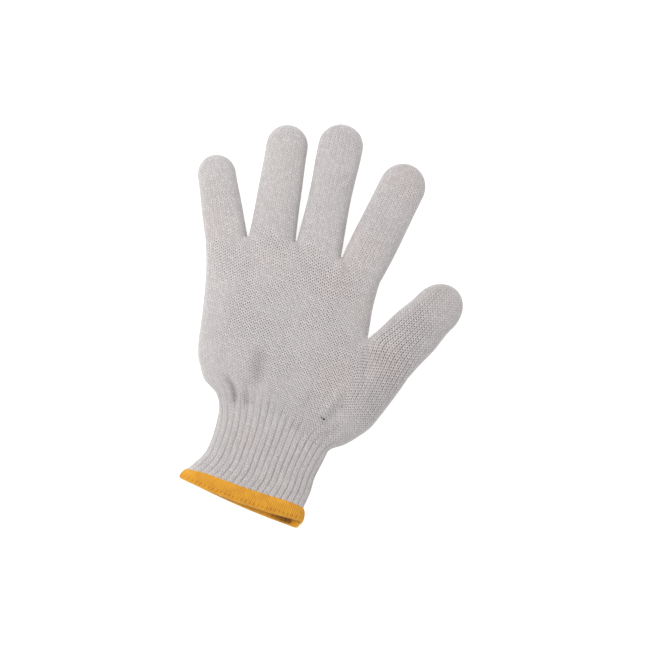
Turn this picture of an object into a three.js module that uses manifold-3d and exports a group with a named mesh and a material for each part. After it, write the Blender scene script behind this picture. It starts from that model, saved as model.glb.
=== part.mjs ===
// Seamless string-knit work glove, lying flat with its thumb to the right and slightly puffed.
// Millimetres, +Z up. +Y runs along the middle finger to its tip, +X to the thumb side.
// The underside of the glove lies on Z = 0, and the middle of its box is at X = 0, Y = 0.

import * as THREE from 'three';
import { ParametricGeometry } from 'three/addons/geometries/ParametricGeometry.js';
import { mergeVertices } from 'three/addons/utils/BufferGeometryUtils.js';
import Module from 'manifold-3d';

const wasm = await Module();
wasm.setup();

// Driving dimensions of the body
const PALM_WIDTH = 104;
const PALM_LENGTH = 113.5;
const PALM_THICKNESS = 17.5;
const FABRIC = 1.8;

// Driving dimensions of the digits: from the base line to the tip, and thickness as they lie
const LITTLE_LENGTH = 53.2;
const RING_LENGTH = 71.4;
const MIDDLE_LENGTH = 79.3;
const INDEX_LENGTH = 72.3;
const THUMB_LENGTH = 59.9;
const LITTLE_THICKNESS = 11.5;
const FINGER_THICKNESS = 12;
const THUMB_THICKNESS = 13.5;

// Driving dimensions of the cuff, which leans to the little finger's side
const WRIST_WIDTH = 75.5;
const WRIST_THICKNESS = 13.5;
const CUFF_LENGTH = 45;
const CUFF_FABRIC = 2.2;
const CUFF_LEAN = 13.1;
const RIB_COUNT = 42;
const RIB_DEPTH = 0.9;

// Driving dimensions of the overlocked hem
const HEM_WIDTH = 7.4;
const HEM_YARN = 1;
const HEM_BITE = 5;
const HEM_SQUEEZE = 0.45;
const HEM_END_ROOM = 0.9;
const MOUTH_BOW = 3;
const MOUTH_LIP = 4.2;

// Clearance between pieces that are joined on the real glove
const JOIN_GAP = 0.3;

// Crotches and outer base points, measured from the middle of the wrist:
// across is a share of the palm's width, along a share of its length
const CROTCHES = {
  littleOuter: { across: -0.589, along: 0.915 },
  littleRing: { across: -0.343, along: 0.98 },
  ringMiddle: { across: -0.057, along: 1 },
  middleIndex: { across: 0.226, along: 0.955 },
  indexOuter: { across: 0.479, along: 0.848 },
  thumbCrotch: { across: 0.464, along: 0.545 },
  thumbOuter: { across: 0.735, along: 0.367 },
};

// Digits: length from the base line to the tip, lean from +Y towards the thumb side in degrees,
// and the width halfway and near the tip as shares of the width at the base
const DIGITS = [
  {
    name: 'little_finger', from: 'littleOuter', to: 'littleRing',
    length: LITTLE_LENGTH, lean: -18.5, thickness: LITTLE_THICKNESS, middle: 0.95, end: 0.865,
  },
  {
    name: 'ring_finger', from: 'littleRing', to: 'ringMiddle',
    length: RING_LENGTH, lean: -0.9, thickness: FINGER_THICKNESS, middle: 0.935, end: 0.895,
  },
  {
    name: 'middle_finger', from: 'ringMiddle', to: 'middleIndex',
    length: MIDDLE_LENGTH, lean: 2, thickness: FINGER_THICKNESS, middle: 0.92, end: 0.955,
  },
  {
    name: 'index_finger', from: 'middleIndex', to: 'indexOuter',
    length: INDEX_LENGTH, lean: 16.3, thickness: FINGER_THICKNESS, middle: 1.035, end: 1.025,
  },
  {
    name: 'thumb', from: 'thumbCrotch', to: 'thumbOuter',
    length: THUMB_LENGTH, lean: 34.9, thickness: THUMB_THICKNESS, middle: 0.95, end: 0.89,
  },
];

// Body from the wrist to past the knuckles: both edges as shares of the palm's width and length,
// measured from the middle of the wrist, and the height as a share of its thickness
const PALM_SECTIONS = [
  { leftX: -0.393, leftY: 0.128, rightX: 0.427, rightY: -0.057, height: 0.77 },
  { leftX: -0.453, leftY: 0.172, rightX: 0.497, rightY: -0.004, height: 0.86 },
  { leftX: -0.489, leftY: 0.233, rightX: 0.562, rightY: 0.062, height: 0.94 },
  { leftX: -0.511, leftY: 0.304, rightX: 0.598, rightY: 0.13, height: 0.99 },
  { leftX: -0.526, leftY: 0.401, rightX: 0.6, rightY: 0.26, height: 1 },
  { leftX: -0.532, leftY: 0.498, rightX: 0.56, rightY: 0.392, height: 0.98 },
  { leftX: -0.538, leftY: 0.595, rightX: 0.499, rightY: 0.507, height: 0.95 },
  { leftX: -0.549, leftY: 0.683, rightX: 0.463, rightY: 0.604, height: 0.9 },
  { leftX: -0.563, leftY: 0.789, rightX: 0.463, rightY: 0.718, height: 0.83 },
  { leftX: -0.583, leftY: 0.877, rightX: 0.47, rightY: 0.797, height: 0.73 },
  { leftX: -0.607, leftY: 0.965, rightX: 0.494, rightY: 0.894, height: 0.55 },
  { leftX: -0.626, leftY: 1.035, rightX: 0.523, rightY: 0.982, height: 0.42 },
];

// Thumb root from deep inside the body to past the thumb's base line, in the same shares
const THUMB_ROOT_SECTIONS = [
  { leftX: 0.12, leftY: 0.16, rightX: 0.545, rightY: 0.05, height: 0.6 },
  { leftX: 0.21, leftY: 0.26, rightX: 0.609, rightY: 0.12, height: 0.82 },
  { leftX: 0.316, leftY: 0.375, rightX: 0.662, rightY: 0.207, height: 0.87 },
  { leftX: 0.402, leftY: 0.471, rightX: 0.697, rightY: 0.295, height: 0.83 },
  { leftX: 0.464, leftY: 0.545, rightX: 0.735, rightY: 0.367, height: 0.78 },
  { leftX: 0.53, leftY: 0.592, rightX: 0.779, rightY: 0.432, height: 0.78 },
];

// A finger's root, sunk into the body behind its base line: depth as a share of the finger's width,
// and its own width and thickness as shares of the finger's
const FINGER_ROOT_SECTIONS = [
  { depth: 1.1, width: 0.7, height: 0.55 },
  { depth: 0.7, width: 0.86, height: 0.93 },
  { depth: 0.35, width: 0.96, height: 1.07 },
  { depth: 0, width: 1, height: 1.06 },
  { depth: -0.25, width: 1, height: 1.04 },
];

// Cuff from the wrist to the open edge: along is a share of the cuff's length, turn is the angle
// of the section to the cuff's square cut in degrees, width and shift are shares of the wrist's
// width, height is a share of its thickness; lift, bow and lip grow to the hem's thickness, the
// bow of the mouth and the reach of its lower lip, and rib is a share of the ribs' depth
const CUFF_SECTIONS = [
  {
    along: -0.12, turn: 2.3, width: 1, shift: 0, height: 1,
    lift: 0, bow: 0, lip: 0, rib: 0.3,
  },
  {
    along: 0, turn: 2.3, width: 1, shift: 0, height: 1,
    lift: 0, bow: 0, lip: 0, rib: 0.5,
  },
  {
    along: 0.12, turn: 1.8, width: 0.96, shift: 0.016, height: 0.97,
    lift: 0, bow: 0.1, lip: 0.05, rib: 0.9,
  },
  {
    along: 0.25, turn: 1.2, width: 0.933, shift: 0.024, height: 0.94,
    lift: 0, bow: 0.25, lip: 0.1, rib: 1,
  },
  {
    along: 0.5, turn: -0.2, width: 0.905, shift: 0.031, height: 0.92,
    lift: 0.1, bow: 0.5, lip: 0.3, rib: 1,
  },
  {
    along: 0.75, turn: -2, width: 0.93, shift: 0.032, height: 0.93,
    lift: 0.6, bow: 0.75, lip: 0.65, rib: 1,
  },
  {
    along: 0.9, turn: -2.8, width: 0.962, shift: 0.018, height: 0.95,
    lift: 0.95, bow: 0.95, lip: 0.9, rib: 0.8,
  },
  {
    along: 1, turn: -3.3, width: 0.995, shift: 0.004, height: 0.96,
    lift: 1, bow: 1, lip: 1, rib: 0.4,
  },
  {
    along: 1.09, turn: -3.3, width: 1.04, shift: 0, height: 0.96,
    lift: 1, bow: 1, lip: 1, rib: 0,
  },
  {
    along: 1.2, turn: -3.3, width: 1.055, shift: -0.002, height: 0.94,
    lift: 1, bow: 1, lip: 1, rib: 0,
  },
];

// Hem's roll from its upper to its lower edge: along is a share of the hem's width, swell a share
// of the yarn's thickness
const HEM_ROLL = [
  { along: 0, swell: 0.25 },
  { along: 0.15, swell: 0.85 },
  { along: 0.5, swell: 1 },
  { along: 0.85, swell: 0.75 },
  { along: 1, swell: -0.4 },
];

// Folds of the body: a ridge or hollow from one point to another in the palm's shares,
// its width as a share of the palm's width and its rise as a share of the palm's thickness
const FOLDS = [
  { fromX: -0.34, fromY: 0.36, toX: -0.25, toY: 0.12, width: 0.035, rise: -0.09 },
  { fromX: -0.2, fromY: 0.36, toX: -0.13, toY: 0.1, width: 0.05, rise: 0.06 },
  { fromX: -0.1, fromY: 0.34, toX: -0.05, toY: 0.09, width: 0.035, rise: -0.07 },
  { fromX: 0.4, fromY: 0.26, toX: 0.28, toY: 0.1, width: 0.045, rise: 0.07 },
  { fromX: 0.35, fromY: 0.07, toX: 0.26, toY: 0.03, width: 0.04, rise: -0.1 },
  { fromX: 0.43, fromY: 0.5, toX: 0.39, toY: 0.25, width: 0.04, rise: -0.08 },
];

// How the loft is divided
const BODY_SIDES = 46;
const BODY_ROWS = 20;
const LINING_SIDES = 26;
const LINING_ROWS = 10;
const DIGIT_SIDES = 24;
const DIGIT_LINING_SIDES = 16;
const ROOT_SIDES = 18;
const HEM_SIDES = 48;
const TIP_ROWS = 5;
const FLAT_TOLERANCE = 0.004;
const MERGE_TOLERANCE = 0.00001;

// Where a digit's form is divided and how it runs: shares of its length from the base line, the
// share over which its rings turn from the base line's slant to square, how far it starts behind
// its base line, and the flat left at its very tip
const DIGIT_STATIONS = [0, 0.12, 0.3, 0.5];
const DIGIT_WIDTHS_AT = [-0.2, 0, 0.5, 0.8, 1];
const SQUARE_FROM = 0.3;
const DIGIT_SINK = 4;
const TIP_FLAT = 0.004;

// Places along the cuff, as shares of its length from the wrist, and a rib's groove and shoulders
// as shares of one rib
const CUFF_STATIONS = [-0.1, 0, 0.13, 0.32, 0.55, 0.8, 0.98];
const LINING_STATIONS = [-0.11, 0, 0.25, 0.5, 0.75, 1];
const HEM_ROOM_FROM = 0.9;
const RIB_GROOVE = 0;
const RIB_SHOULDERS = [0.24, 0.76];

// Shape of a section: how square its shoulders are, how much of the underside lies flat,
// and how high its widest place is as a share of its thickness
const SHOULDER = 0.7;
const FLAT_SHARE = 0.62;
const WAIST_SHARE = 0.42;

const PLAIN_KNIT = { color: 0xcac5c3, roughness: 0.95, metalness: 0 };
const HEM_YARN_LOOK = { color: 0xe3a23c, roughness: 0.85, metalness: 0 };

// Side of the blocks that cut the form, well past the glove
const CUT_REACH = 4 * (PALM_LENGTH + PALM_WIDTH);

const degrees = THREE.MathUtils.degToRad;

// Direction of a line that leans from +Y towards +X
function leaning(angle) {
  return new THREE.Vector2(Math.sin(degrees(angle)), Math.cos(degrees(angle)));
}

// The same direction turned to point to the thumb side
function rightOf(direction) {
  return new THREE.Vector2(direction.y, -direction.x);
}

// Reads a table of sections as smooth curves over one of its columns, or over the rows' order
function smoothTable(rows, over) {
  const names = Object.keys(rows[0]);
  const places = rows.map((row, order) => (over ? row[over] : order / (rows.length - 1)));
  const values = rows.flatMap((row) => names.map((name) => row[name]));
  const curve = new THREE.CubicInterpolant(places, values, names.length);
  return (place) => {
    const found = curve.evaluate(place);
    return Object.fromEntries(names.map((name, column) => [name, found[column]]));
  };
}

function palmPoint(across, along) {
  return new THREE.Vector2(across * PALM_WIDTH, along * PALM_LENGTH);
}

function crotch(name) {
  return palmPoint(CROTCHES[name].across, CROTCHES[name].along);
}

// Closed outline of a section, flat below and rounded above: half is its half width
function sectionOutline({ half, low, high }) {
  const waist = low + WAIST_SHARE * (high - low);
  const flat = FLAT_SHARE * half;
  const corner = flat + SHOULDER * (half - flat);
  const outline = new THREE.Path();
  const shoulder = waist + SHOULDER * (high - waist);
  const hip = waist - SHOULDER * (waist - low);
  outline.moveTo(half, waist);
  outline.bezierCurveTo(half, shoulder, SHOULDER * half, high, 0, high);
  outline.bezierCurveTo(-SHOULDER * half, high, -half, shoulder, -half, waist);
  outline.bezierCurveTo(-half, hip, -corner, low, -flat, low);
  outline.lineTo(flat, low);
  outline.bezierCurveTo(corner, low, half, hip, half, waist);
  return outline;
}

// Places a point of an outline on its section: sideways along the section's line, and up
function placeOnSection(section, point) {
  const share = point.x / section.half;
  const depth = 1 - (point.y - section.low) / (section.high - section.low);
  const bow = (section.bow ?? 0) * (1 - share * share);
  const lip = (section.lip ?? 0) * depth * (1 + share) / 2;
  const place = section.centre.clone().addScaledVector(section.across, point.x);
  if (section.outward) {
    place.addScaledVector(section.outward, bow + lip);
  }
  return new THREE.Vector3(place.x, place.y, point.y);
}

// A section drawn in from its outline by the fabric's thickness
function drawnIn(section, inset) {
  return {
    ...section,
    half: section.half - inset,
    low: section.low + inset,
    high: section.high - inset,
  };
}

function plainRing(section, sides) {
  const points = sectionOutline(section).getSpacedPoints(sides);
  return points.map((point) => placeOnSection(section, point));
}

// Lofts a closed surface through rings of points, with both ends capped
function loft(rings) {
  const sides = rings[0].length - 1;
  const centreOf = (ring) => {
    const middle = new THREE.Vector3();
    ring.slice(1).forEach((point) => middle.add(point));
    middle.divideScalar(sides);
    return ring.map(() => middle);
  };
  const rows = [centreOf(rings[0]), ...rings, centreOf(rings.at(-1))];
  const surface = (u, v, target) => {
    const row = rows[Math.round(v * (rows.length - 1))];
    target.copy(row[Math.round((1 - u) * sides)]);
  };
  return solidOf(new ParametricGeometry(surface, sides, rows.length - 1));
}

// Turns a closed geometry into a solid that can be joined and cut
function solidOf(geometry) {
  geometry.deleteAttribute('normal');
  geometry.deleteAttribute('uv');
  const merged = mergeVertices(geometry, MERGE_TOLERANCE);
  const corners = merged.index.array;
  const kept = [];
  for (let i = 0; i < corners.length; i += 3) {
    const [a, b, c] = corners.subarray(i, i + 3);
    if (a !== b && b !== c && c !== a) {
      kept.push(a, b, c);
    }
  }
  const vertProperties = new Float32Array(merged.attributes.position.array);
  const triVerts = new Uint32Array(kept);
  return new wasm.Manifold(new wasm.Mesh({ numProp: 3, vertProperties, triVerts }));
}

function meshOf(name, solid, look) {
  const { vertProperties, triVerts } = solid.simplify(FLAT_TOLERANCE).getMesh();
  const geometry = new THREE.BufferGeometry();
  geometry.setAttribute('position', new THREE.BufferAttribute(vertProperties, 3));
  geometry.setIndex(new THREE.BufferAttribute(triVerts, 1));
  geometry.computeVertexNormals();
  const mesh = new THREE.Mesh(geometry, new THREE.MeshStandardMaterial(look));
  mesh.name = name;
  return mesh;
}

// Everything on the left of the upright plane that runs from one point to another; bounded keeps
// only what lies past the first point
function beyond(from, to, clearance, bounded = false) {
  const along = to.clone().sub(from);
  const block = new THREE.BoxGeometry(CUT_REACH, CUT_REACH, CUT_REACH);
  block.translate(bounded ? CUT_REACH / 2 - JOIN_GAP : 0, CUT_REACH / 2 + clearance, 0);
  block.rotateZ(along.angle());
  block.translate(from.x, from.y, 0);
  return solidOf(block);
}

// Rise of the body's folds at one place of its upper side
function foldRise(place) {
  let rise = 0;
  for (const fold of FOLDS) {
    const from = palmPoint(fold.fromX, fold.fromY);
    const to = palmPoint(fold.toX, fold.toY);
    const line = new THREE.Line3(new THREE.Vector3(from.x, from.y), new THREE.Vector3(to.x, to.y));
    const flat = new THREE.Vector3(place.x, place.y);
    const nearest = line.closestPointToPoint(flat, true, new THREE.Vector3());
    const distance = nearest.distanceTo(flat) / (fold.width * PALM_WIDTH);
    rise += fold.rise * PALM_THICKNESS * Math.exp(-distance * distance);
  }
  return rise;
}

// Raises and hollows a ring of the body where its folds run
function foldedRing(section, sides) {
  const ring = plainRing(section, sides);
  const waist = section.low + WAIST_SHARE * (section.high - section.low);
  for (const point of ring) {
    const upper = THREE.MathUtils.clamp((point.z - waist) / (section.high - waist), 0, 1);
    point.z += upper * foldRise(point);
  }
  return ring;
}

// Section between two points of the palm's plan
function sectionBetween(left, right, high) {
  const across = right.clone().sub(left);
  return {
    centre: left.clone().lerp(right, 0.5),
    half: across.length() / 2,
    across: across.normalize(),
    low: 0,
    high,
  };
}

// Section of the cuff at a share of its length below the wrist
const cuffAt = smoothTable(CUFF_SECTIONS, 'along');

function cuffSection(along, grow = 0) {
  const row = cuffAt(along);
  const outward = leaning(CUFF_LEAN).negate();
  const across = rightOf(leaning(CUFF_LEAN + row.turn));
  const centre = outward.clone().multiplyScalar(along * CUFF_LENGTH);
  centre.addScaledVector(across, row.shift * WRIST_WIDTH);
  const lift = row.lift * (HEM_YARN + JOIN_GAP);
  const section = {
    centre,
    across,
    outward,
    half: row.width * WRIST_WIDTH / 2,
    low: lift,
    high: row.height * WRIST_THICKNESS,
    bow: row.bow * MOUTH_BOW,
    lip: row.lip * MOUTH_LIP,
    rib: row.rib * RIB_DEPTH,
  };
  return drawnIn(section, -grow);
}

// Wrist line, where the body meets the cuff
const wrist = cuffSection(0);
const wristLeft = wrist.centre.clone().addScaledVector(wrist.across, -wrist.half);
const wristRight = wrist.centre.clone().addScaledVector(wrist.across, wrist.half);

// Body's own form, without the roots of the digits
function palmForm(inset, sides, rows) {
  const bodyAt = smoothTable(PALM_SECTIONS);
  const below = { ...wrist, centre: wrist.centre.clone().addScaledVector(wrist.outward, FABRIC) };
  const rings = [below, wrist].map((section) => plainRing(drawnIn(section, inset), sides));
  for (let row = 0; row <= rows; row += 1) {
    const at = bodyAt(row / rows);
    const left = palmPoint(at.leftX, at.leftY);
    const right = palmPoint(at.rightX, at.rightY);
    const section = sectionBetween(left, right, at.height * PALM_THICKNESS);
    rings.push(foldedRing(drawnIn(section, inset), sides));
  }
  return loft(rings);
}

function thumbRootForm(inset, sides) {
  const rings = THUMB_ROOT_SECTIONS.map((at) => {
    const left = palmPoint(at.leftX, at.leftY);
    const right = palmPoint(at.rightX, at.rightY);
    const section = sectionBetween(left, right, at.height * PALM_THICKNESS);
    return foldedRing(drawnIn(section, inset), sides);
  });
  return loft(rings);
}

function fingerRootForm(digit, inset, sides) {
  const left = crotch(digit.from);
  const right = crotch(digit.to);
  const width = left.distanceTo(right);
  const rings = FINGER_ROOT_SECTIONS.map((at) => {
    const section = sectionBetween(left, right, at.height * digit.thickness);
    section.centre.addScaledVector(leaning(digit.lean), -at.depth * width);
    section.half *= at.width;
    return plainRing(drawnIn(section, inset), sides);
  });
  return loft(rings);
}

function bodyForm(inset, sides, rows) {
  let form = palmForm(inset, sides, rows).add(thumbRootForm(inset, DIGIT_SIDES));
  for (const digit of DIGITS.filter(({ name }) => name !== 'thumb')) {
    form = form.add(fingerRootForm(digit, inset, ROOT_SIDES));
  }
  return form;
}

function makePalm() {
  let palm = bodyForm(0, BODY_SIDES, BODY_ROWS);
  palm = palm.subtract(bodyForm(FABRIC, LINING_SIDES, LINING_ROWS));
  for (const { name, from, to } of DIGITS) {
    palm = palm.subtract(beyond(crotch(from), crotch(to), -JOIN_GAP / 2, name === 'thumb'));
  }
  palm = palm.subtract(beyond(wristRight, wristLeft, -JOIN_GAP / 2));
  return meshOf('palm', palm, PLAIN_KNIT);
}

// Rings of a digit from behind its base line to its closed tip
function digitRings(digit, inset, sides) {
  const left = crotch(digit.from);
  const right = crotch(digit.to);
  const baseLine = right.clone().sub(left).normalize();
  const axis = leaning(digit.lean);
  const across = rightOf(axis);
  const base = left.clone().lerp(right, 0.5);
  const half = left.distanceTo(right) / 2 - JOIN_GAP / 2;
  const tipRadius = digit.end * half - inset;
  const length = digit.length - inset;
  const roundFrom = length - tipRadius;
  const widths = [1, 1, digit.middle, digit.end, digit.end];
  const widthAt = new THREE.CubicInterpolant(DIGIT_WIDTHS_AT, widths, 1);
  const stations = [-DIGIT_SINK, ...DIGIT_STATIONS.map((share) => share * length), roundFrom];
  for (let row = 1; row < TIP_ROWS; row += 1) {
    stations.push(roundFrom + tipRadius * Math.sin((row / TIP_ROWS) * Math.PI / 2));
  }
  stations.push(length - TIP_FLAT * length);
  return stations.map((station) => {
    const beyondRound = Math.max(0, (station - roundFrom) / tipRadius);
    const round = Math.sqrt(Math.max(0, 1 - beyondRound * beyondRound));
    const straight = THREE.MathUtils.smoothstep(station, 0, SQUARE_FROM * length);
    const waist = WAIST_SHARE * digit.thickness;
    const section = {
      centre: base.clone().addScaledVector(axis, station),
      across: baseLine.clone().lerp(across, straight).normalize(),
      half: (widthAt.evaluate(station / length)[0] * half - inset) * round,
      low: waist - (waist - inset) * round,
      high: waist + (digit.thickness - inset - waist) * round,
    };
    return plainRing(section, sides);
  });
}

function makeDigit(digit) {
  const outer = loft(digitRings(digit, 0, DIGIT_SIDES));
  const inner = loft(digitRings(digit, FABRIC, DIGIT_LINING_SIDES));
  const behind = beyond(crotch(digit.to), crotch(digit.from), -JOIN_GAP / 2);
  return meshOf(digit.name, outer.subtract(inner).subtract(behind), PLAIN_KNIT);
}

// Ring of the cuff with its ribs: each rib has a groove and two shoulders
function ribbedRing(section) {
  const outline = sectionOutline(section);
  const ring = [];
  for (let rib = 0; rib < RIB_COUNT; rib += 1) {
    for (const share of [RIB_GROOVE, ...RIB_SHOULDERS]) {
      const place = (rib + share) / RIB_COUNT;
      const point = outline.getPointAt(place);
      if (share === RIB_GROOVE) {
        const along = outline.getTangentAt(place);
        point.x -= section.rib * along.y;
        point.y += section.rib * along.x;
      }
      ring.push(placeOnSection(section, point));
    }
  }
  ring.push(ring[0].clone());
  return ring;
}

const CUFF_END = 1 + HEM_BITE / CUFF_LENGTH;
const GRIPPED_STATIONS = [1, CUFF_END];

// Lofts rings down the cuff from the wrist to the mouth
function cuffLoft(stations, ringAt) {
  return loft(stations.map(ringAt).reverse());
}

function cuffLining(inset, reach) {
  const stations = [...LINING_STATIONS, CUFF_END + reach];
  return cuffLoft(stations, (along) => plainRing(cuffSection(along, -inset), LINING_SIDES));
}

function makeCuff() {
  const ringAt = (along) => ribbedRing(cuffSection(along, along < 1 ? 0 : -HEM_SQUEEZE));
  const outer = cuffLoft([...CUFF_STATIONS, ...GRIPPED_STATIONS], ringAt);
  const inner = cuffLining(CUFF_FABRIC, HEM_WIDTH / CUFF_LENGTH);
  const above = beyond(wristLeft, wristRight, JOIN_GAP / 2);
  return meshOf('rib_cuff', outer.subtract(inner).subtract(above), PLAIN_KNIT);
}

function makeHem() {
  const band = cuffLoft(HEM_ROLL, ({ along, swell }) => {
    const place = 1 + along * HEM_WIDTH / CUFF_LENGTH;
    return plainRing(cuffSection(place, JOIN_GAP + swell * HEM_YARN), HEM_SIDES);
  });
  const hole = cuffLining(CUFF_FABRIC + JOIN_GAP + HEM_YARN, 2 * HEM_WIDTH / CUFF_LENGTH);
  const roomEnd = CUFF_END + HEM_END_ROOM / CUFF_LENGTH;
  const gripped = cuffLoft([HEM_ROOM_FROM, 1, roomEnd], (along) => (
    plainRing(cuffSection(along, JOIN_GAP), HEM_SIDES)
  ));
  const room = gripped.subtract(cuffLining(CUFF_FABRIC + JOIN_GAP, HEM_WIDTH / CUFF_LENGTH));
  return meshOf('hem', band.subtract(hole).subtract(room), HEM_YARN_LOOK);
}

const glove = new THREE.Group();
glove.add(makePalm(), ...DIGITS.map(makeDigit), makeCuff(), makeHem());
const box = new THREE.Box3().setFromObject(glove);
const middle = box.getCenter(new THREE.Vector3());
glove.position.set(-middle.x, -middle.y, -box.min.z);

export default glove;
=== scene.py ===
# %% [markdown]
# A seamless string-knit work glove, lying flat on a pale table and seen from straight above.
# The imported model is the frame: it fixes where each finger, the body, the cuff and the hem are.
# This lesson dresses it: one knit for the body and digits, a ribbed knit for the cuff, and the
# overlocked hem of golden yarn.

# %% Load the frame
import math

import bmesh
import bpy
import numpy as np
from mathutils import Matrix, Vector


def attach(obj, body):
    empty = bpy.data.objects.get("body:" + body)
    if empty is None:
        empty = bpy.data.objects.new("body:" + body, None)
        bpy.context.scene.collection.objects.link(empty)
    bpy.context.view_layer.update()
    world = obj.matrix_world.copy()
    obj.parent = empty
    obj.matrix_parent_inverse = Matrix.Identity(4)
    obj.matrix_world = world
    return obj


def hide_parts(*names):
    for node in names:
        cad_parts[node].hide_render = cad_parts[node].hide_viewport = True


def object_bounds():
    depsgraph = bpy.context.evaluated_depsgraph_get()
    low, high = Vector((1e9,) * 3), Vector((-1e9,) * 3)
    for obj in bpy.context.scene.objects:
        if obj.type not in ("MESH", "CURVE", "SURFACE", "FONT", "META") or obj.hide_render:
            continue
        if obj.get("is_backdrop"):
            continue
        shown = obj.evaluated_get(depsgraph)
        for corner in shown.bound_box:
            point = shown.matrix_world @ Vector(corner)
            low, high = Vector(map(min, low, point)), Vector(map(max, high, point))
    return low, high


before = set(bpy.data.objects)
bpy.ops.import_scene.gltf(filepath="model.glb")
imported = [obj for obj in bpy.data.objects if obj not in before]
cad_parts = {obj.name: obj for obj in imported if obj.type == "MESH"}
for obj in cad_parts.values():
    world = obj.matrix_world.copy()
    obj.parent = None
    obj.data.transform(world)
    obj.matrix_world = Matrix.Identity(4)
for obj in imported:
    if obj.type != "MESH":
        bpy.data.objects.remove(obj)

CAD_LOW, CAD_HIGH = (list(corner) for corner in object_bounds())
GLOVE_LOW = np.array(CAD_LOW)
GLOVE_SIZE = np.array(CAD_HIGH) - GLOVE_LOW
GLOVE_WIDTH, GLOVE_LENGTH, GLOVE_HEIGHT = GLOVE_SIZE
MM = 0.001
print("glove box in mm:", np.round(GLOVE_SIZE / MM, 1))


# %% [markdown]
# Places on the glove are written as shares of its box: across from the little finger's side, and
# along from the hem to the fingertips. So every table below follows the frame's own size.

# %% Places as shares of the glove's box
def place(across, along):
    """A point of the plan, in metres, from shares of the glove's width and length."""
    return np.array([GLOVE_LOW[0] + across * GLOVE_WIDTH, GLOVE_LOW[1] + along * GLOVE_LENGTH])


WRIST_LEFT = place(0.209, 0.283)
WRIST_RIGHT = place(0.621, 0.204)
CROTCHES = {
    "little_outer": place(0.067, 0.657),
    "little_ring": place(0.212, 0.686),
    "ring_middle": place(0.381, 0.696),
    "middle_index": place(0.548, 0.675),
    "index_outer": place(0.698, 0.627),
    "thumb_crotch": place(0.688, 0.490),
}
WRIST_WIDTH = np.linalg.norm(WRIST_RIGHT - WRIST_LEFT)
print("wrist width in mm:", round(WRIST_WIDTH / MM, 1))


# %% [markdown]
# A knit is a grid. Wales are its columns, which run from the cuff to the fingertips, and courses are
# its rows. The flat grid below has one square for a few stitches, with the five digits as the teeth
# of a comb. Working on the flat grid first keeps every wale whole, however the glove is bent later,
# and the ribs of the cuff simply follow the columns.
#
# A digit leans by some degrees towards the thumb's side. Its length is a share of the glove's, its
# three widths are shares of the width at its base, and its round tip is as long as the last entry
# says, as a share of half its width.

# %% Columns and rows of the flat knit
COLUMNS_PER_RIB = 8
LITTLE, RING, MIDDLE, INDEX, THUMB = 27, 32, 32, 31, 34
SLOT = 1
ROWS_IN_HEM = 2
FINGER_STARTS = np.cumsum([0, LITTLE + SLOT, RING + SLOT, MIDDLE + SLOT, INDEX + SLOT])
COLUMNS = int(FINGER_STARTS[-1]) + THUMB
RIB_TOTAL = COLUMNS // COLUMNS_PER_RIB

CUFF_ROWS = 31
THUMB_BASE_ROW = CUFF_ROWS + 46
FINGER_BASE_ROW = THUMB_BASE_ROW + 22
TIP_ROWS = 9

DIGITS = [
    {"name": "little_finger", "columns": LITTLE, "base": FINGER_BASE_ROW, "rows": 34,
     "lean": -18.5, "length": 0.2087, "low": 0.985, "middle": 0.955, "high": 0.915, "tip": 1.06},
    {"name": "ring_finger", "columns": RING, "base": FINGER_BASE_ROW, "rows": 45,
     "lean": -0.9, "length": 0.2828, "low": 0.955, "middle": 0.925, "high": 0.895, "tip": 1.04},
    {"name": "middle_finger", "columns": MIDDLE, "base": FINGER_BASE_ROW, "rows": 50,
     "lean": 2.0, "length": 0.3128, "low": 0.935, "middle": 0.915, "high": 0.955, "tip": 1.0},
    {"name": "index_finger", "columns": INDEX, "base": FINGER_BASE_ROW, "rows": 46,
     "lean": 16.3, "length": 0.2879, "low": 1.04, "middle": 1.03, "high": 1.02, "tip": 1.06},
    {"name": "thumb", "columns": THUMB, "base": THUMB_BASE_ROW, "rows": 38,
     "lean": 34.9, "length": 0.2385, "low": 0.965, "middle": 0.945, "high": 0.87, "tip": 1.2},
]
for digit, start in zip(DIGITS, FINGER_STARTS):
    digit["start"] = int(start)
ROWS = max(digit["base"] + digit["rows"] for digit in DIGITS)
print("columns:", COLUMNS, "rows:", ROWS, "ribs across the front:", RIB_TOTAL)


# %% [markdown]
# The flat comb starts as one grid. Faces that are not knitted, which are the slots between the
# digits and the space above each tip, are deleted, and what is left is extruded into a second
# sheet. The extrusion also makes the narrow wall that joins the two sheets all round. The first
# rows are deleted, because the glove is open there and the hem's yarn takes their place.

# %% The flat comb with a front and a back
def knitted(column, row):
    """True where the flat grid is knitted, for the middle of a square."""
    if row < THUMB_BASE_ROW:
        return True
    for digit in DIGITS:
        if digit["start"] < column < digit["start"] + digit["columns"]:
            return row < digit["base"] + digit["rows"]
    return row < FINGER_BASE_ROW and column < DIGITS[-1]["start"] - SLOT


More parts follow.
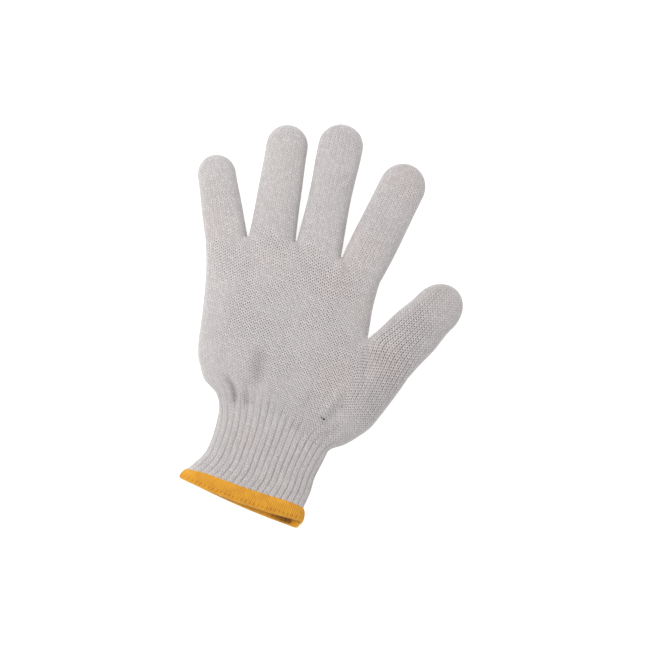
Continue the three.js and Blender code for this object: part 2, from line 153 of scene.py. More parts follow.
def flat_comb():
    """The knit as two flat sheets, with x the column, y the row and z 1 in front and 0 behind."""
    comb = bmesh.new()
    bmesh.ops.create_grid(comb, x_segments=COLUMNS, y_segments=ROWS, size=0.5)
    bmesh.ops.translate(comb, vec=(0.5, 0.5, 0.0), verts=comb.verts)
    bmesh.ops.scale(comb, vec=(COLUMNS, ROWS, 1.0), verts=comb.verts)
    spare = [f for f in comb.faces if not knitted(*f.calc_center_median()[:2])]
    bmesh.ops.delete(comb, geom=spare, context="FACES")
    sheet = comb.faces[:] + comb.edges[:] + comb.verts[:]
    back = bmesh.ops.extrude_face_region(comb, geom=sheet, use_keep_orig=True)
    back_verts = [item for item in back["geom"] if isinstance(item, bmesh.types.BMVert)]
    front_verts = list(set(comb.verts) - set(back_verts))
    bmesh.ops.translate(comb, vec=(0.0, 0.0, 1.0), verts=front_verts)
    mouth = [f for f in comb.faces if f.calc_center_median().y < ROWS_IN_HEM]
    bmesh.ops.delete(comb, geom=mouth, context="FACES")
    bmesh.ops.recalc_face_normals(comb, faces=comb.faces)
    return comb


comb = flat_comb()
print("comb:", len(comb.verts), "points,", len(comb.faces), "faces")


# %% [markdown]
# The comb is bent to the glove's plan by smooth curves through short tables. One helper does all of
# it: a natural cubic curve through the rows of a table, as a draughtsman's spline would give.

# %% A smooth curve through a table
def spline(places, values, at):
    """Values of the natural cubic curve through (places, values), read at other places."""
    places = np.asarray(places, float)
    values = np.asarray(values, float)
    at = np.clip(np.asarray(at, float), places[0], places[-1])
    gaps = np.diff(places)
    count = len(places)
    matrix = np.eye(count)
    slopes = np.diff(values, axis=0) / gaps.reshape((-1,) + (1,) * (values.ndim - 1))
    right = np.zeros_like(values)
    for row in range(1, count - 1):
        matrix[row, row - 1] = gaps[row - 1]
        matrix[row, row] = 2.0 * (gaps[row - 1] + gaps[row])
        matrix[row, row + 1] = gaps[row]
        right[row] = 6.0 * (slopes[row] - slopes[row - 1])
    bends = np.linalg.solve(matrix, right.reshape(count, -1)).reshape(values.shape)
    cell = np.clip(np.searchsorted(places, at, side="right") - 1, 0, count - 2)
    shape = at.shape + (1,) * (values.ndim - 1)
    gap = gaps[cell].reshape(shape)
    low = (places[cell + 1] - at).reshape(shape)
    high = (at - places[cell]).reshape(shape)
    curve = (bends[cell] * low**3 + bends[cell + 1] * high**3) / (6.0 * gap)
    curve += (values[cell] / gap - bends[cell] * gap / 6.0) * low
    curve += (values[cell + 1] / gap - bends[cell + 1] * gap / 6.0) * high
    return curve


def column_of(table, name):
    return [row[name] for row in table]


def smooth_step(value):
    value = np.clip(value, 0.0, 1.0)
    return value * value * (3.0 - 2.0 * value)


# %% [markdown]
# The cuff is drawn in by elastic thread. Its sections are measured from the middle of the wrist: how
# far down the cuff they lie, how they turn, and how wide they are. The mouth bows outwards, and the
# layer that lies on the table reaches further than the one on top, most at the thumb's side.

# %% Cuff sections
CUFF_LENGTH = 45.0 * MM
CUFF_END_SHARE = 1.12
CUFF_TURN_FROM_WRIST = 2.3
MOUTH_BOW = 1.9 * MM
MOUTH_LIP = 5.6 * MM
MOUTH_LIP_POWER = 1.25
CUFF_SECTIONS = [
    {"along": 0.0, "turn": 2.3, "width": 1.0, "shift": 0.0, "bow": 0.0, "lip": 0.0},
    {"along": 0.12, "turn": 1.8, "width": 0.96, "shift": 0.016, "bow": 0.1, "lip": 0.05},
    {"along": 0.25, "turn": 1.2, "width": 0.933, "shift": 0.024, "bow": 0.25, "lip": 0.1},
    {"along": 0.5, "turn": -0.2, "width": 0.905, "shift": 0.031, "bow": 0.5, "lip": 0.3},
    {"along": 0.75, "turn": -2.0, "width": 0.93, "shift": 0.032, "bow": 0.75, "lip": 0.65},
    {"along": 0.9, "turn": -2.8, "width": 0.97, "shift": 0.008, "bow": 0.95, "lip": 0.9},
    {"along": 1.0, "turn": -3.3, "width": 1.015, "shift": -0.006, "bow": 1.0, "lip": 1.0},
    {"along": 1.2, "turn": -3.3, "width": 1.09, "shift": -0.014, "bow": 1.0, "lip": 1.0},
]
wrist_middle = (WRIST_LEFT + WRIST_RIGHT) / 2.0
wrist_across = (WRIST_RIGHT - WRIST_LEFT) / WRIST_WIDTH
wrist_lean = math.degrees(math.atan2(-wrist_across[1], wrist_across[0])) - CUFF_TURN_FROM_WRIST
print("the cuff leans by", round(wrist_lean, 1), "degrees")


def leaning(degrees):
    """Direction that leans from +Y towards the thumb's side."""
    angle = np.radians(degrees)
    return np.stack([np.sin(angle), np.cos(angle)], axis=-1)


def right_of(direction):
    return np.stack([direction[..., 1], -direction[..., 0]], axis=-1)


def cuff_reading(name, along):
    return spline(column_of(CUFF_SECTIONS, "along"), column_of(CUFF_SECTIONS, name), along)


def cuff_plan(share, along, depth):
    """Plan of the cuff: share runs -1 to 1 across, along from the wrist, depth 0 on top to 1 below."""
    down = -leaning(wrist_lean)
    across = right_of(leaning(wrist_lean + cuff_reading("turn", along)))
    centre = wrist_middle + np.multiply.outer(along * CUFF_LENGTH, down)
    centre = centre + across * (cuff_reading("shift", along) * WRIST_WIDTH)[..., None]
    half = cuff_reading("width", along) * WRIST_WIDTH / 2.0
    bow = cuff_reading("bow", along) * MOUTH_BOW * (1.0 - share**2)
    lip = cuff_reading("lip", along) * MOUTH_LIP * depth * ((1.0 + share) / 2.0) ** MOUTH_LIP_POWER
    point = centre + across * (share * half)[..., None]
    return point + (bow + lip)[..., None] * down


# %% [markdown]
# The body's plan is read from its two edges. Each row of the table is one course: where it starts
# at the little finger's side, where it ends at the wale that runs up to the thumb's crotch, and how
# far its middle bows towards the fingers. Up to the thumb's base line the courses run on to the
# thumb's outer edge, through one more point halfway.

# %% Courses of the body
BODY_COURSES = [
    {"share": 0.0, "left": (0.209, 0.283), "inner": (0.533, 0.221), "bow": 0.0},
    {"share": 0.1, "left": (0.183, 0.301), "inner": (0.5455, 0.2475), "bow": 0.5},
    {"share": 0.22, "left": (0.146, 0.321), "inner": (0.561, 0.279), "bow": 1.2},
    {"share": 0.31, "left": (0.131, 0.341), "inner": (0.576, 0.303), "bow": 2.0},
    {"share": 0.39, "left": (0.118, 0.361), "inner": (0.592, 0.324), "bow": 3.0},
    {"share": 0.55, "left": (0.105, 0.401), "inner": (0.626, 0.366), "bow": 4.5},
    {"share": 0.77, "left": (0.101, 0.461), "inner": (0.665, 0.426), "bow": 6.5},
    {"share": 1.0, "left": (0.096, 0.520), "inner": (0.688, 0.490), "bow": 8.5},
    {"share": 1.24, "left": (0.086, 0.589), "inner": (0.689, 0.558), "bow": 10.5},
    {"share": 1.48, "left": (0.067, 0.657), "inner": (0.698, 0.627), "bow": 13.5},
]
THUMB_COURSES = [
    {"share": 0.0, "middle": (0.578, 0.212), "right": (0.621, 0.204)},
    {"share": 0.15, "middle": (0.608, 0.242), "right": (0.674, 0.222)},
    {"share": 0.27, "middle": (0.632, 0.268), "right": (0.708, 0.242)},
    {"share": 0.375, "middle": (0.656, 0.294), "right": (0.738, 0.262)},
    {"share": 0.47, "middle": (0.677, 0.319), "right": (0.759, 0.281)},
    {"share": 0.55, "middle": (0.694, 0.341), "right": (0.775, 0.301)},
    {"share": 0.72, "middle": (0.726, 0.383), "right": (0.805, 0.341)},
    {"share": 0.885, "middle": (0.751, 0.423), "right": (0.833, 0.381)},
    {"share": 1.0, "middle": (0.768, 0.449), "right": (0.851, 0.409)},
]
BODY_SPAN = THUMB_BASE_ROW - CUFF_ROWS
WALE_HOLD = 1.2
WALE_HOLD_FROM = 0.4
BASE_LINE = ["little_outer", "little_ring", "ring_middle", "middle_index", "index_outer"]
INNER_COLUMN = float(DIGITS[-1]["start"]) - SLOT / 2.0
BASE_COLUMNS = [0.0] + [digit["start"] - SLOT / 2.0 for digit in DIGITS[1:]]
print("courses in the tables:", len(BODY_COURSES), "body,", len(THUMB_COURSES), "thumb root")


# %% [markdown]
# A course is laid between its two ends. The wales in its middle keep the places that they have on
# the course at the thumb's base, and only near the edges do they follow the edge's own turns. Above
# the thumb's base the courses change over to the line through the crotches of the fingers.

# %% Plan of the body
def table_points(table, name, at):
    points = np.array([place(*row[name]) for row in table])
    return spline(column_of(table, "share"), points, at)


def course_plan(across, share):
    """Plan of one course from its two ends; the wales between keep to the middle course's places."""
    left = table_points(BODY_COURSES, "left", share)
    inner = table_points(BODY_COURSES, "inner", share)
    bow = spline(column_of(BODY_COURSES, "share"), column_of(BODY_COURSES, "bow"), share) * MM
    level = np.ones_like(share)
    middle_left = table_points(BODY_COURSES, "left", level)
    middle_inner = table_points(BODY_COURSES, "inner", level)
    hold = 1.0 + WALE_HOLD * np.clip(share / WALE_HOLD_FROM, 0.0, 1.0)
    from_left = ((1.0 - across) ** hold)[..., None]
    from_inner = (across**hold)[..., None]
    course = middle_left + (middle_inner - middle_left) * across[..., None]
    course = course + (left - middle_left) * from_left + (inner - middle_inner) * from_inner
    course[..., 1] += bow * (1.0 - (2.0 * across - 1.0) ** 2)
    return course


def body_plan(column, share):
    """Plan of the body left of the thumb's crotch wale."""
    across = column / INNER_COLUMN
    base = spline(BASE_COLUMNS, [CROTCHES[name] for name in BASE_LINE], column)
    top_share = BODY_COURSES[-1]["share"]
    top_course = course_plan(across, np.full_like(share, top_share))
    near = np.clip((share - 1.0) / (top_share - 1.0), 0.0, 1.0) ** 2
    return course_plan(across, share) + (base - top_course) * near[..., None]


def thumb_root_plan(column, share):
    """Plan of the body right of the thumb's crotch wale, below the thumb's base line."""
    inner = table_points(BODY_COURSES, "inner", share)
    middle = table_points(THUMB_COURSES, "middle", share)
    right = table_points(THUMB_COURSES, "right", share)
    across = ((column - INNER_COLUMN) / (COLUMNS - INNER_COLUMN))[..., None]
    weights = (2 * across**2 - 3 * across + 1, 4 * across - 4 * across**2, 2 * across**2 - across)
    return inner * weights[0] + middle * weights[1] + right * weights[2]


# %% [markdown]
# A digit is a tube laid flat. Its columns run straight, its width follows three readings, and its
# tip is half a disc. A square grid fits into half a disc without folding when its corners go to the
# places at 45 degrees, so no stitch is squeezed to nothing at the tip.

# %% Plan of a digit
SQUARE_ROWS = 12.0
TIP_EVEN_SHARE = 0.4
WIDTHS_READ_AT = [0.0, 0.3, 0.62, 0.88, 1.0]


def digit_plan(digit, column, row, base_points):
    """Plan of a digit's points; base_points is where the body's last course puts their columns."""
    axis = leaning(digit["lean"])
    across = right_of(axis)
    base = (base_points[0] + base_points[-1]) / 2.0
    base_half = np.linalg.norm(base_points[-1] - base_points[0]) / 2.0
    side = 2.0 * (column - digit["start"]) / digit["columns"] - 1.0
    length = digit["length"] * GLOVE_LENGTH
    tip_length = digit["tip"] * digit["high"] * base_half
    straight_rows = digit["rows"] - TIP_ROWS
    along = np.minimum(row / straight_rows, 1.0)
    tip = np.clip((row - straight_rows) / TIP_ROWS, 0.0, 1.0)
    tip = TIP_EVEN_SHARE * tip + (1.0 - TIP_EVEN_SHARE) * np.sin(np.pi / 2.0 * tip)
    widths = [1.0, digit["low"], digit["middle"], digit["high"], digit["high"]]
    half = base_half * spline(WIDTHS_READ_AT, widths, along)
    flat_side = side * half * np.sqrt(1.0 - tip**2 / 2.0)
    reach = along * (length - tip_length) + tip_length * tip * np.sqrt(1.0 - side**2 / 2.0)
    point = base + np.multiply.outer(reach, axis) + np.multiply.outer(flat_side, across)
    first = base + np.multiply.outer(side * base_half, across)
    fade = np.clip(1.0 - row / SQUARE_ROWS, 0.0, 1.0) ** 2
    return point + (base_points - first) * fade[..., None]


print("digit lengths in mm:", [round(digit["length"] * GLOVE_LENGTH / MM, 1) for digit in DIGITS])


# %% [markdown]
# Now every crossing of a column and a row gets its place. The whole plan is held in arrays with one
# entry for each crossing, and a mask says which of them are knitted.

# %% Lay out the plan
row_grid, column_grid = np.mgrid[0:ROWS + 1, 0:COLUMNS + 1].astype(float)
squares = np.zeros((ROWS + 2, COLUMNS + 2), bool)
for r in range(ROWS):
    for c in range(COLUMNS):
        squares[r + 1, c + 1] = knitted(c + 0.5, r + 0.5)
made = squares[1:, 1:] | squares[:-1, 1:] | squares[1:, :-1] | squares[:-1, :-1]
inside = squares[1:, 1:] & squares[:-1, 1:] & squares[1:, :-1] & squares[:-1, :-1]
# The mouth is open, so its row is an edge only at its two ends.
inside[0, 1:-1] = True

plan = np.zeros((ROWS + 1, COLUMNS + 1, 2))
depth_shift = np.zeros_like(plan)


def lay_cuff():
    rows = slice(0, CUFF_ROWS + 1)
    share = 2.0 * column_grid[rows] / COLUMNS - 1.0
    along = (1.0 - row_grid[rows] / CUFF_ROWS) * CUFF_END_SHARE
    plan[rows] = cuff_plan(share, along, np.zeros_like(share))
    depth_shift[rows] = cuff_plan(share, along, np.ones_like(share)) - plan[rows]


def lay_body():
    for row in range(CUFF_ROWS, FINGER_BASE_ROW + 1):
        columns = column_grid[row]
        share = np.full(COLUMNS + 1, (row - CUFF_ROWS) / BODY_SPAN)
        left_part = columns < INNER_COLUMN
        plan[row, left_part] = body_plan(columns[left_part], share[left_part])
        if row <= THUMB_BASE_ROW:
            plan[row, ~left_part] = thumb_root_plan(columns[~left_part], share[~left_part])


def crossings_of(digit):
    """Slices of the rows above a digit's base and of its columns."""
    rows = slice(digit["base"] + 1, digit["base"] + digit["rows"] + 1)
    return rows, slice(digit["start"], digit["start"] + digit["columns"] + 1)


def lay_digits():
    for digit in DIGITS:
        rows, columns = crossings_of(digit)
        row = row_grid[rows, columns] - digit["base"]
        base_points = plan[digit["base"], columns].copy()
        plan[rows, columns] = digit_plan(digit, column_grid[rows, columns], row, base_points)


lay_body()
lay_cuff()
lay_digits()
print("crossings that are knitted:", int(made.sum()))


# %% [markdown]
# Wales turn where the wide body meets the narrow cuff and where the digits begin. Real yarn shares
# those turns out over many stitches. Rounds of averaging do the same to the plan, with the outline
# held where it is. Close to a crotch the averaging would pull points out of the cloth, so it is weak.

# %% Ease the turns of the wales
EASE_ROUNDS = 320
EASE_MOST = 0.5
EASE_FROM_ROW = CUFF_ROWS - 10
EASE_TO_ROW = FINGER_BASE_ROW + 12
CROTCH_KEPT = 7.0 * MM
CROTCH_KEPT_POWER = 4
INNER_CROTCHES = ["little_ring", "ring_middle", "middle_index", "thumb_crotch"]
to_crotches = [np.linalg.norm(plan - CROTCHES[name], axis=-1) for name in INNER_CROTCHES]
far_share = np.clip(np.min(to_crotches, axis=0) / CROTCH_KEPT, 0.0, 1.0)
ease_strength = EASE_MOST * far_share**CROTCH_KEPT_POWER
ease_strength[~inside | (row_grid <= EASE_FROM_ROW) | (row_grid >= EASE_TO_ROW)] = 0.0


def ease_wales():
    for _ in range(EASE_ROUNDS):
        beside = np.roll(plan, 1, axis=1) + np.roll(plan, -1, axis=1)
        above_below = np.roll(plan, 1, axis=0) + np.roll(plan, -1, axis=0)
        plan[:] += ease_strength[..., None] * ((beside + above_below) / 4.0 - plan)


ease_wales()
print("crossings that were eased:", int((ease_strength > 0.0).sum()))


# %% [markdown]
# An empty glove is two layers of knit that are joined at their edges and puffed apart a little. A
# film held down at its edges takes that form by itself: every point rests at a level between its
# four neighbours, pushed up by an even pressure and pulled back towards the table. With a short
# pull the film rises steeply at the edges and runs level, and with a long one it makes a dome. The
# glove needs both, so the film is worked out twice. Any pillow-like form can be made this way.

# %% Puff the knit like a film
FILM_ROUNDS = 260
FILM_PUSH = 1.93
EDGE_PULL = 6.5 * MM
DOME_PULL = 28.0 * MM
SHORTEST_STEP = 0.1 * MM


def steps_to(neighbour):
    return np.maximum(np.linalg.norm(neighbour - plan, axis=-1), SHORTEST_STEP)


def film(pull):
    """Level of a film over the plan: 0 at its edges and up to 1 far from them."""
    east, west = np.roll(plan, -1, axis=1), np.roll(plan, 1, axis=1)
    north, south = np.roll(plan, -1, axis=0), np.roll(plan, 1, axis=0)
    south[0] = 2.0 * plan[0] - plan[1]
    reach = [steps_to(side) for side in (east, west, north, south)]
    spans = [reach[0] + reach[1]] * 2 + [reach[2] + reach[3]] * 2
    weights = [2.0 / (step * span) for step, span in zip(reach, spans)]
    total = sum(weights) + 1.0 / pull**2
    level = np.zeros(made.shape)
    colours = [(row_grid + column_grid) % 2 == parity for parity in (0, 1)]
    for _ in range(FILM_ROUNDS):
        for colour in colours:
            below = np.roll(level, 1, axis=0)
            below[0] = level[1]
            around = weights[0] * np.roll(level, -1, axis=1) + weights[1] * np.roll(level, 1, axis=1)
            around += weights[2] * np.roll(level, -1, axis=0) + weights[3] * below
            rest = (around + 1.0 / pull**2) / total
            level = np.where(colour & inside, level + FILM_PUSH * (rest - level), level)
    return level


# %% [markdown]
# The two films give the heights. The widest place of each section is a little below its middle, the
# underside is pressed flat by the table, and the cuff lies lower because the elastic holds it. At the
# thumb's crotch the cloth stands up as a small web instead of sinking to a point.

# %% Heights of the two layers
WAIST = 5.0 * MM
EDGE_RISE = 6.0 * MM
DOME_RISE = 8.5 * MM
PRESSED_FLAT = 1.13
JOIN_HALF = 0.35 * MM
HEM_LIFT = 1.3 * MM
WEB_RISE = 4.0 * MM
WEB_REACH = 4.0 * MM
HEIGHT_ROWS = [0, CUFF_ROWS // 2, CUFF_ROWS, CUFF_ROWS + 18, ROWS]
HEIGHT_SHARES = [0.82, 0.8, 0.93, 1.0, 1.0]
LIFT_ROWS = [0, 5, 16, CUFF_ROWS, ROWS]
LIFT_SHARES = [1.0, 0.95, 0.2, 0.0, 0.0]


def puffed():
    """Heights of the front and the back sheet, how round the knit is there, and the dome's level."""
    edge_film, dome_film = film(EDGE_PULL), film(DOME_PULL)
    roundness = np.sqrt(np.clip(1.0 - (1.0 - edge_film) ** 2, 0.0, 1.0))
    low_share = np.interp(row_grid, HEIGHT_ROWS, HEIGHT_SHARES)
    lift = HEM_LIFT * np.interp(row_grid, LIFT_ROWS, LIFT_SHARES)
    top = low_share * (WAIST + EDGE_RISE * roundness + DOME_RISE * dome_film)
    under = low_share * WAIST * (1.0 - np.minimum(1.0, PRESSED_FLAT * roundness))
    under = lift + under * (1.0 - lift / WAIST)
    top = np.where(inside, top, low_share * WAIST + JOIN_HALF)
    under = np.where(inside, under, low_share * WAIST - JOIN_HALF)
    from_crotch = np.linalg.norm(plan - CROTCHES["thumb_crotch"], axis=-1)
    top += WEB_RISE * np.exp(-(from_crotch / WEB_REACH) ** 2) * (1.0 - roundness)
    return top, under, roundness, dome_film


# %% [markdown]
# Stitches are spread evenly over the cloth, not over the plan. So a line of crossings is measured
# along its puffed height, and the crossings are set at even steps of that length. A course has gaps
# between the digits, so it is handled in unbroken runs.

# %% Even steps along a line of the knit
def course_runs(row):
    """First and last column of each unbroken stretch of a course."""
    if row <= THUMB_BASE_ROW:
        return [(0, COLUMNS)]
    runs = []
    if row <= FINGER_BASE_ROW:
        runs.append((0, DIGITS[-1]["start"] - SLOT))
    for digit in DIGITS:
        if digit["base"] < row <= digit["base"] + digit["rows"]:
            runs.append((digit["start"], digit["start"] + digit["columns"]))
    return runs


def even_steps(line, heights):
    """Lengths along a line of crossings as they are, and as they would be in even steps."""
    cloth = np.column_stack([line, heights])
    steps = np.linalg.norm(np.diff(cloth, axis=0), axis=1)
    length = np.concatenate([[0.0], np.cumsum(steps)])
    return length, np.linspace(0.0, length[-1], len(length))


def read_at(at, places, values):
    """Values or points that are known at some places, read at others."""
    if values.ndim == 1:
        return np.interp(at, places, values)
    return np.stack([np.interp(at, places, part) for part in values.T], axis=1)


def move_columns(move, *grids):
    """Moves the columns along their courses by the given parts of a column."""
    for row in range(ROWS + 1):
        for first, last in course_runs(row):
            run, columns = slice(first, last + 1), np.arange(first, last + 1)
            for values in grids:
                values[row, run] = read_at(columns + move[row, run], columns, values[row, run])


print("runs of a course across the fingers:", course_runs(FINGER_BASE_ROW + 1))


# %% [markdown]
# First the columns of each course are evened, which draws them together at the sides, where the
# cloth turns down. Towards the thumb's crotch the wale below it keeps its place. Then the courses
# of the body are evened along each wale. The moves are shared out over the neighbours, so that no
# line of the knit jumps. Every move changes the form a little, so both are done twice.

# %% Spread the stitches evenly over the cloth
SPREAD_ROUNDS = 2
SPREAD_EASE = 10
CROTCH_HOLD_ROWS = 30.0


def spread_wales(top):
    move = np.zeros(made.shape)
    for row in range(ROWS + 1):
        for first, last in course_runs(row):
            run, columns = slice(first, last + 1), np.arange(first, last + 1)
            length, even = even_steps(plan[row, run], top[row, run])
            if last == COLUMNS and first == 0:
                hold = smooth_step(1.0 - (THUMB_BASE_ROW - row) / CROTCH_HOLD_ROWS)
                to_inner = np.interp(INNER_COLUMN, columns, length)
                held = np.interp(columns, [first, INNER_COLUMN, last], [0.0, to_inner, length[-1]])
                even = even + hold * (held - even)
            move[row, run] = np.interp(even, length, columns) - columns
    for _ in range(SPREAD_EASE):
        move[1:-1] = 0.5 * move[1:-1] + 0.25 * (move[:-2] + move[2:])
        move[~inside] = 0.0
    move_columns(move, plan)


def wale_runs(column):
    """Stretches of a column's rows, from the wrist to the digits, that are evened as one."""
    if column > INNER_COLUMN:
        return [(CUFF_ROWS, THUMB_BASE_ROW)]
    if column > INNER_COLUMN - 1.0:
        return [(CUFF_ROWS, THUMB_BASE_ROW), (THUMB_BASE_ROW, FINGER_BASE_ROW)]
    return [(CUFF_ROWS, FINGER_BASE_ROW)]


def spread_courses(top):
    move = np.zeros(made.shape)
    runs = [(column, run) for column in range(COLUMNS + 1) for run in wale_runs(column)]
    for column, (first, last) in runs:
        run, rows = slice(first, last + 1), np.arange(first, last + 1)
        length, even = even_steps(plan[run, column], top[run, column])
        move[run, column] = np.interp(even, length, rows) - rows
    for _ in range(SPREAD_EASE):
        shared = 0.5 * move + 0.25 * (np.roll(move, 1, axis=1) + np.roll(move, -1, axis=1))
        move = np.where(inside, shared, move)
    for column, (first, last) in runs:
        run, rows = slice(first, last + 1), np.arange(first, last + 1)
        moved = np.clip(rows + move[run, column], first, last)
        plan[run, column] = read_at(moved, rows, plan[run, column])


for _ in range(SPREAD_ROUNDS):
    spread_wales(puffed()[0])
    spread_courses(puffed()[0])
top, under, roundness, dome_film = puffed()
print("highest place in mm:", round(top[made].max() / MM, 1))


# %% [markdown]
# The ribs come from elastic thread that pulls every third wale inwards. So a rib is two things: the
# columns crowd towards the groove, and the groove sinks. Both fade out above the wrist, each rib at
# a height of its own, and the hem holds the knit nearly flat.

# %% Ribs of the cuff
RIB_DEPTH = 0.6 * MM
RIB_CROWN = 0.15 * MM
GROOVE_WIDTH = 0.12
RIB_CROWD = 0.72
RIB_UNEVEN = 0.35
RIB_UNEVEN_STEP = 1.7
RIB_UNEVEN_POWER = 1.3
RIB_UNEVEN_ALONG = 0.3
RIB_FADE_ROWS = 3.5
RIB_TOP_ROWS = [7.0, 8.5, 6.0, 3.5, 2.5, 1.0]
RIB_TOP_AT = [0.0, 0.15, 0.35, 0.55, 0.85, 1.0]
RIB_TOP_SPREAD = 2.2
RIB_TOP_STEP = 2.4
HELD_BY_HEM = 0.3
HELD_TO_ROW = 4.0
HELD_FADE_ROWS = 3.0
rib_phase = column_grid / COLUMNS_PER_RIB + 0.5
rib_number = np.round(rib_phase)
from_groove = np.abs(rib_phase - rib_number)


def rib_share():
    """How strong the ribs are at each crossing: 1 in the cuff, 0 in the body."""
    top_row = CUFF_ROWS + np.interp(column_grid / COLUMNS, RIB_TOP_AT, RIB_TOP_ROWS)
    top_row = top_row + RIB_TOP_SPREAD * np.sin(rib_number * RIB_TOP_STEP)
    above = smooth_step((top_row - row_grid) / (2.0 * RIB_FADE_ROWS) + 0.5)
    free = smooth_step((row_grid - HELD_TO_ROW) / HELD_FADE_ROWS)
    return above * (HELD_BY_HEM + (1.0 - HELD_BY_HEM) * free)


ribs = rib_share()
crowd = -RIB_CROWD * np.sin(2.0 * np.pi * rib_phase) * ribs
move_columns(crowd, plan, top, under, roundness, dome_film, depth_shift)
uneven_phase = RIB_UNEVEN_STEP * rib_number**RIB_UNEVEN_POWER + RIB_UNEVEN_ALONG * row_grid
uneven = 1.0 + RIB_UNEVEN * np.sin(uneven_phase)
rib_relief = -RIB_DEPTH * uneven * np.exp(-(from_groove / GROOVE_WIDTH) ** 2)
rib_relief = (rib_relief - RIB_CROWN * np.cos(2.0 * np.pi * rib_phase)) * ribs
print("ribs:", RIB_TOTAL * 2, "round the cuff")


# %% [markdown]
# Folds are read from the photograph as short lines. Each lifts or sinks the knit beside its line and
# dies away to both sides, and along the line it comes and goes. Its rise and its width are given in
# millimetres. They make the creases at the little finger's side of the wrist, the ridge that runs up
# from the cuff to the thumb, the line where the thumb's knit meets the hand's, and the soft dents of
# the body. The back lies on the table and has none.

# %% Folds of the front
FOLDS = [
    {"name": "wrist crease", "rise": -3.0, "width": 1.6,
     "route": [(0.208, 0.340), (0.230, 0.328), (0.248, 0.317), (0.260, 0.306),
               (0.266, 0.294), (0.267, 0.281), (0.265, 0.266)]},
    {"name": "lip of the crease", "rise": 1.5, "width": 3.0,
     "route": [(0.240, 0.352), (0.268, 0.334), (0.286, 0.312), (0.292, 0.285)]},
    {"name": "swell below the crease", "rise": 1.0, "width": 3.4,
     "route": [(0.185, 0.325), (0.220, 0.308), (0.238, 0.288)]},
    {"name": "second crease", "rise": -2.0, "width": 1.2,
     "route": [(0.291, 0.312), (0.306, 0.297), (0.311, 0.281), (0.309, 0.262)]},
    {"name": "third crease", "rise": -1.0, "width": 1.2, "route": [(0.324, 0.296), (0.330, 0.275)]},
    {"name": "long hollow", "rise": -2.8, "width": 4.6,
     "route": [(0.332, 0.425), (0.336, 0.385), (0.338, 0.345), (0.345, 0.315)]},
    {"name": "swell beside the hollow", "rise": 1.2, "width": 6.0,
     "route": [(0.285, 0.400), (0.290, 0.355)]},
    {"name": "hollow towards the palm", "rise": -0.8, "width": 5.0,
     "route": [(0.430, 0.345), (0.470, 0.390)]},
    {"name": "fold over the middle ribs", "rise": 0.6, "width": 4.0,
     "route": [(0.470, 0.290), (0.525, 0.345)]},
    {"name": "thumb ridge", "rise": 1.2, "width": 2.8,
     "route": [(0.575, 0.278), (0.589, 0.296), (0.606, 0.319), (0.620, 0.341), (0.631, 0.364)]},
    {"name": "hollow beside the ridge", "rise": -1.0, "width": 3.4,
     "route": [(0.594, 0.258), (0.619, 0.287), (0.643, 0.316)]},
    {"name": "hollow before the ridge", "rise": -0.5, "width": 3.6,
     "route": [(0.510, 0.295), (0.545, 0.333)]},
    {"name": "thumb line", "rise": -0.9, "width": 3.0,
     "route": [(0.689, 0.480), (0.699, 0.436), (0.707, 0.375)]},
    {"name": "ball of the thumb", "rise": 0.8, "width": 7.0,
     "route": [(0.745, 0.400), (0.700, 0.310)]},
    {"name": "wrist hollow, thumb side", "rise": -1.2, "width": 3.0,
     "route": [(0.602, 0.226), (0.618, 0.243), (0.646, 0.262)]},
    {"name": "palm dent", "rise": -0.8, "width": 9.0, "route": [(0.400, 0.535), (0.420, 0.450)]},
]
FOLD_END_FADE = 0.28
FOLD_END_KEPT = 0.25


def fold_relief(points):
    """Height that all folds together add at each point."""
    relief = np.zeros(points.shape[:-1])
    for fold in FOLDS:
        route = np.array([place(*spot) for spot in fold["route"]])
        legs = np.linalg.norm(np.diff(route, axis=0), axis=1)
        starts = np.concatenate([[0.0], np.cumsum(legs)])
        nearest = np.full(points.shape[:-1], np.inf)
        along = np.zeros(points.shape[:-1])
        for start, end, leg, before in zip(route, route[1:], legs, starts):
            share = np.clip(((points - start) @ (end - start)) / leg**2, 0.0, 1.0)
            away = np.linalg.norm(points - start - share[..., None] * (end - start), axis=-1)
            along = np.where(away < nearest, (before + share * leg) / starts[-1], along)
            nearest = np.minimum(nearest, away)
        from_end = smooth_step(np.minimum(along, 1.0 - along) / FOLD_END_FADE)
        ends = from_end * (1.0 - FOLD_END_KEPT) + FOLD_END_KEPT
        relief += fold["rise"] * MM * ends * np.exp(-(nearest / (fold["width"] * MM)) ** 2)
    return relief


front_relief = rib_relief + fold_relief(plan) * roundness
print("folds:", len(FOLDS), "deepest in mm:", round(float(front_relief.min()) / MM, 1))


# %% [markdown]
# A stitch has one size all over the glove. So the courses are counted up along the rows by their
# true length, and a digit gets more wales than its columns carry, spreading from its middle. The
# mesh's rows bow over the palm, while the courses run straight from side to side, so the wales in
# the middle hold more of them.

# %% Count the stitches
WALES_PER_RIB = 3
WALES_PER_COLUMN = WALES_PER_RIB / COLUMNS_PER_RIB
COURSE_PITCH = 1.89 * MM
DIGIT_WALE_PITCH = 2.35 * MM
DIGIT_WALE_ROWS = 14.0
COURSES_LEVEL_ROWS = 24.0
cloth = np.concatenate([plan, top[..., None]], axis=-1)


def count_courses():
    course_at = np.zeros(made.shape)
    for row in range(1, ROWS + 1):
        steps = np.linalg.norm(cloth[row] - cloth[row - 1], axis=-1)
        for first, last in course_runs(row):
            run = slice(first, last + 1)
            course_at[row, run] = course_at[row - 1, run] + steps[run].mean() / COURSE_PITCH
    return course_at


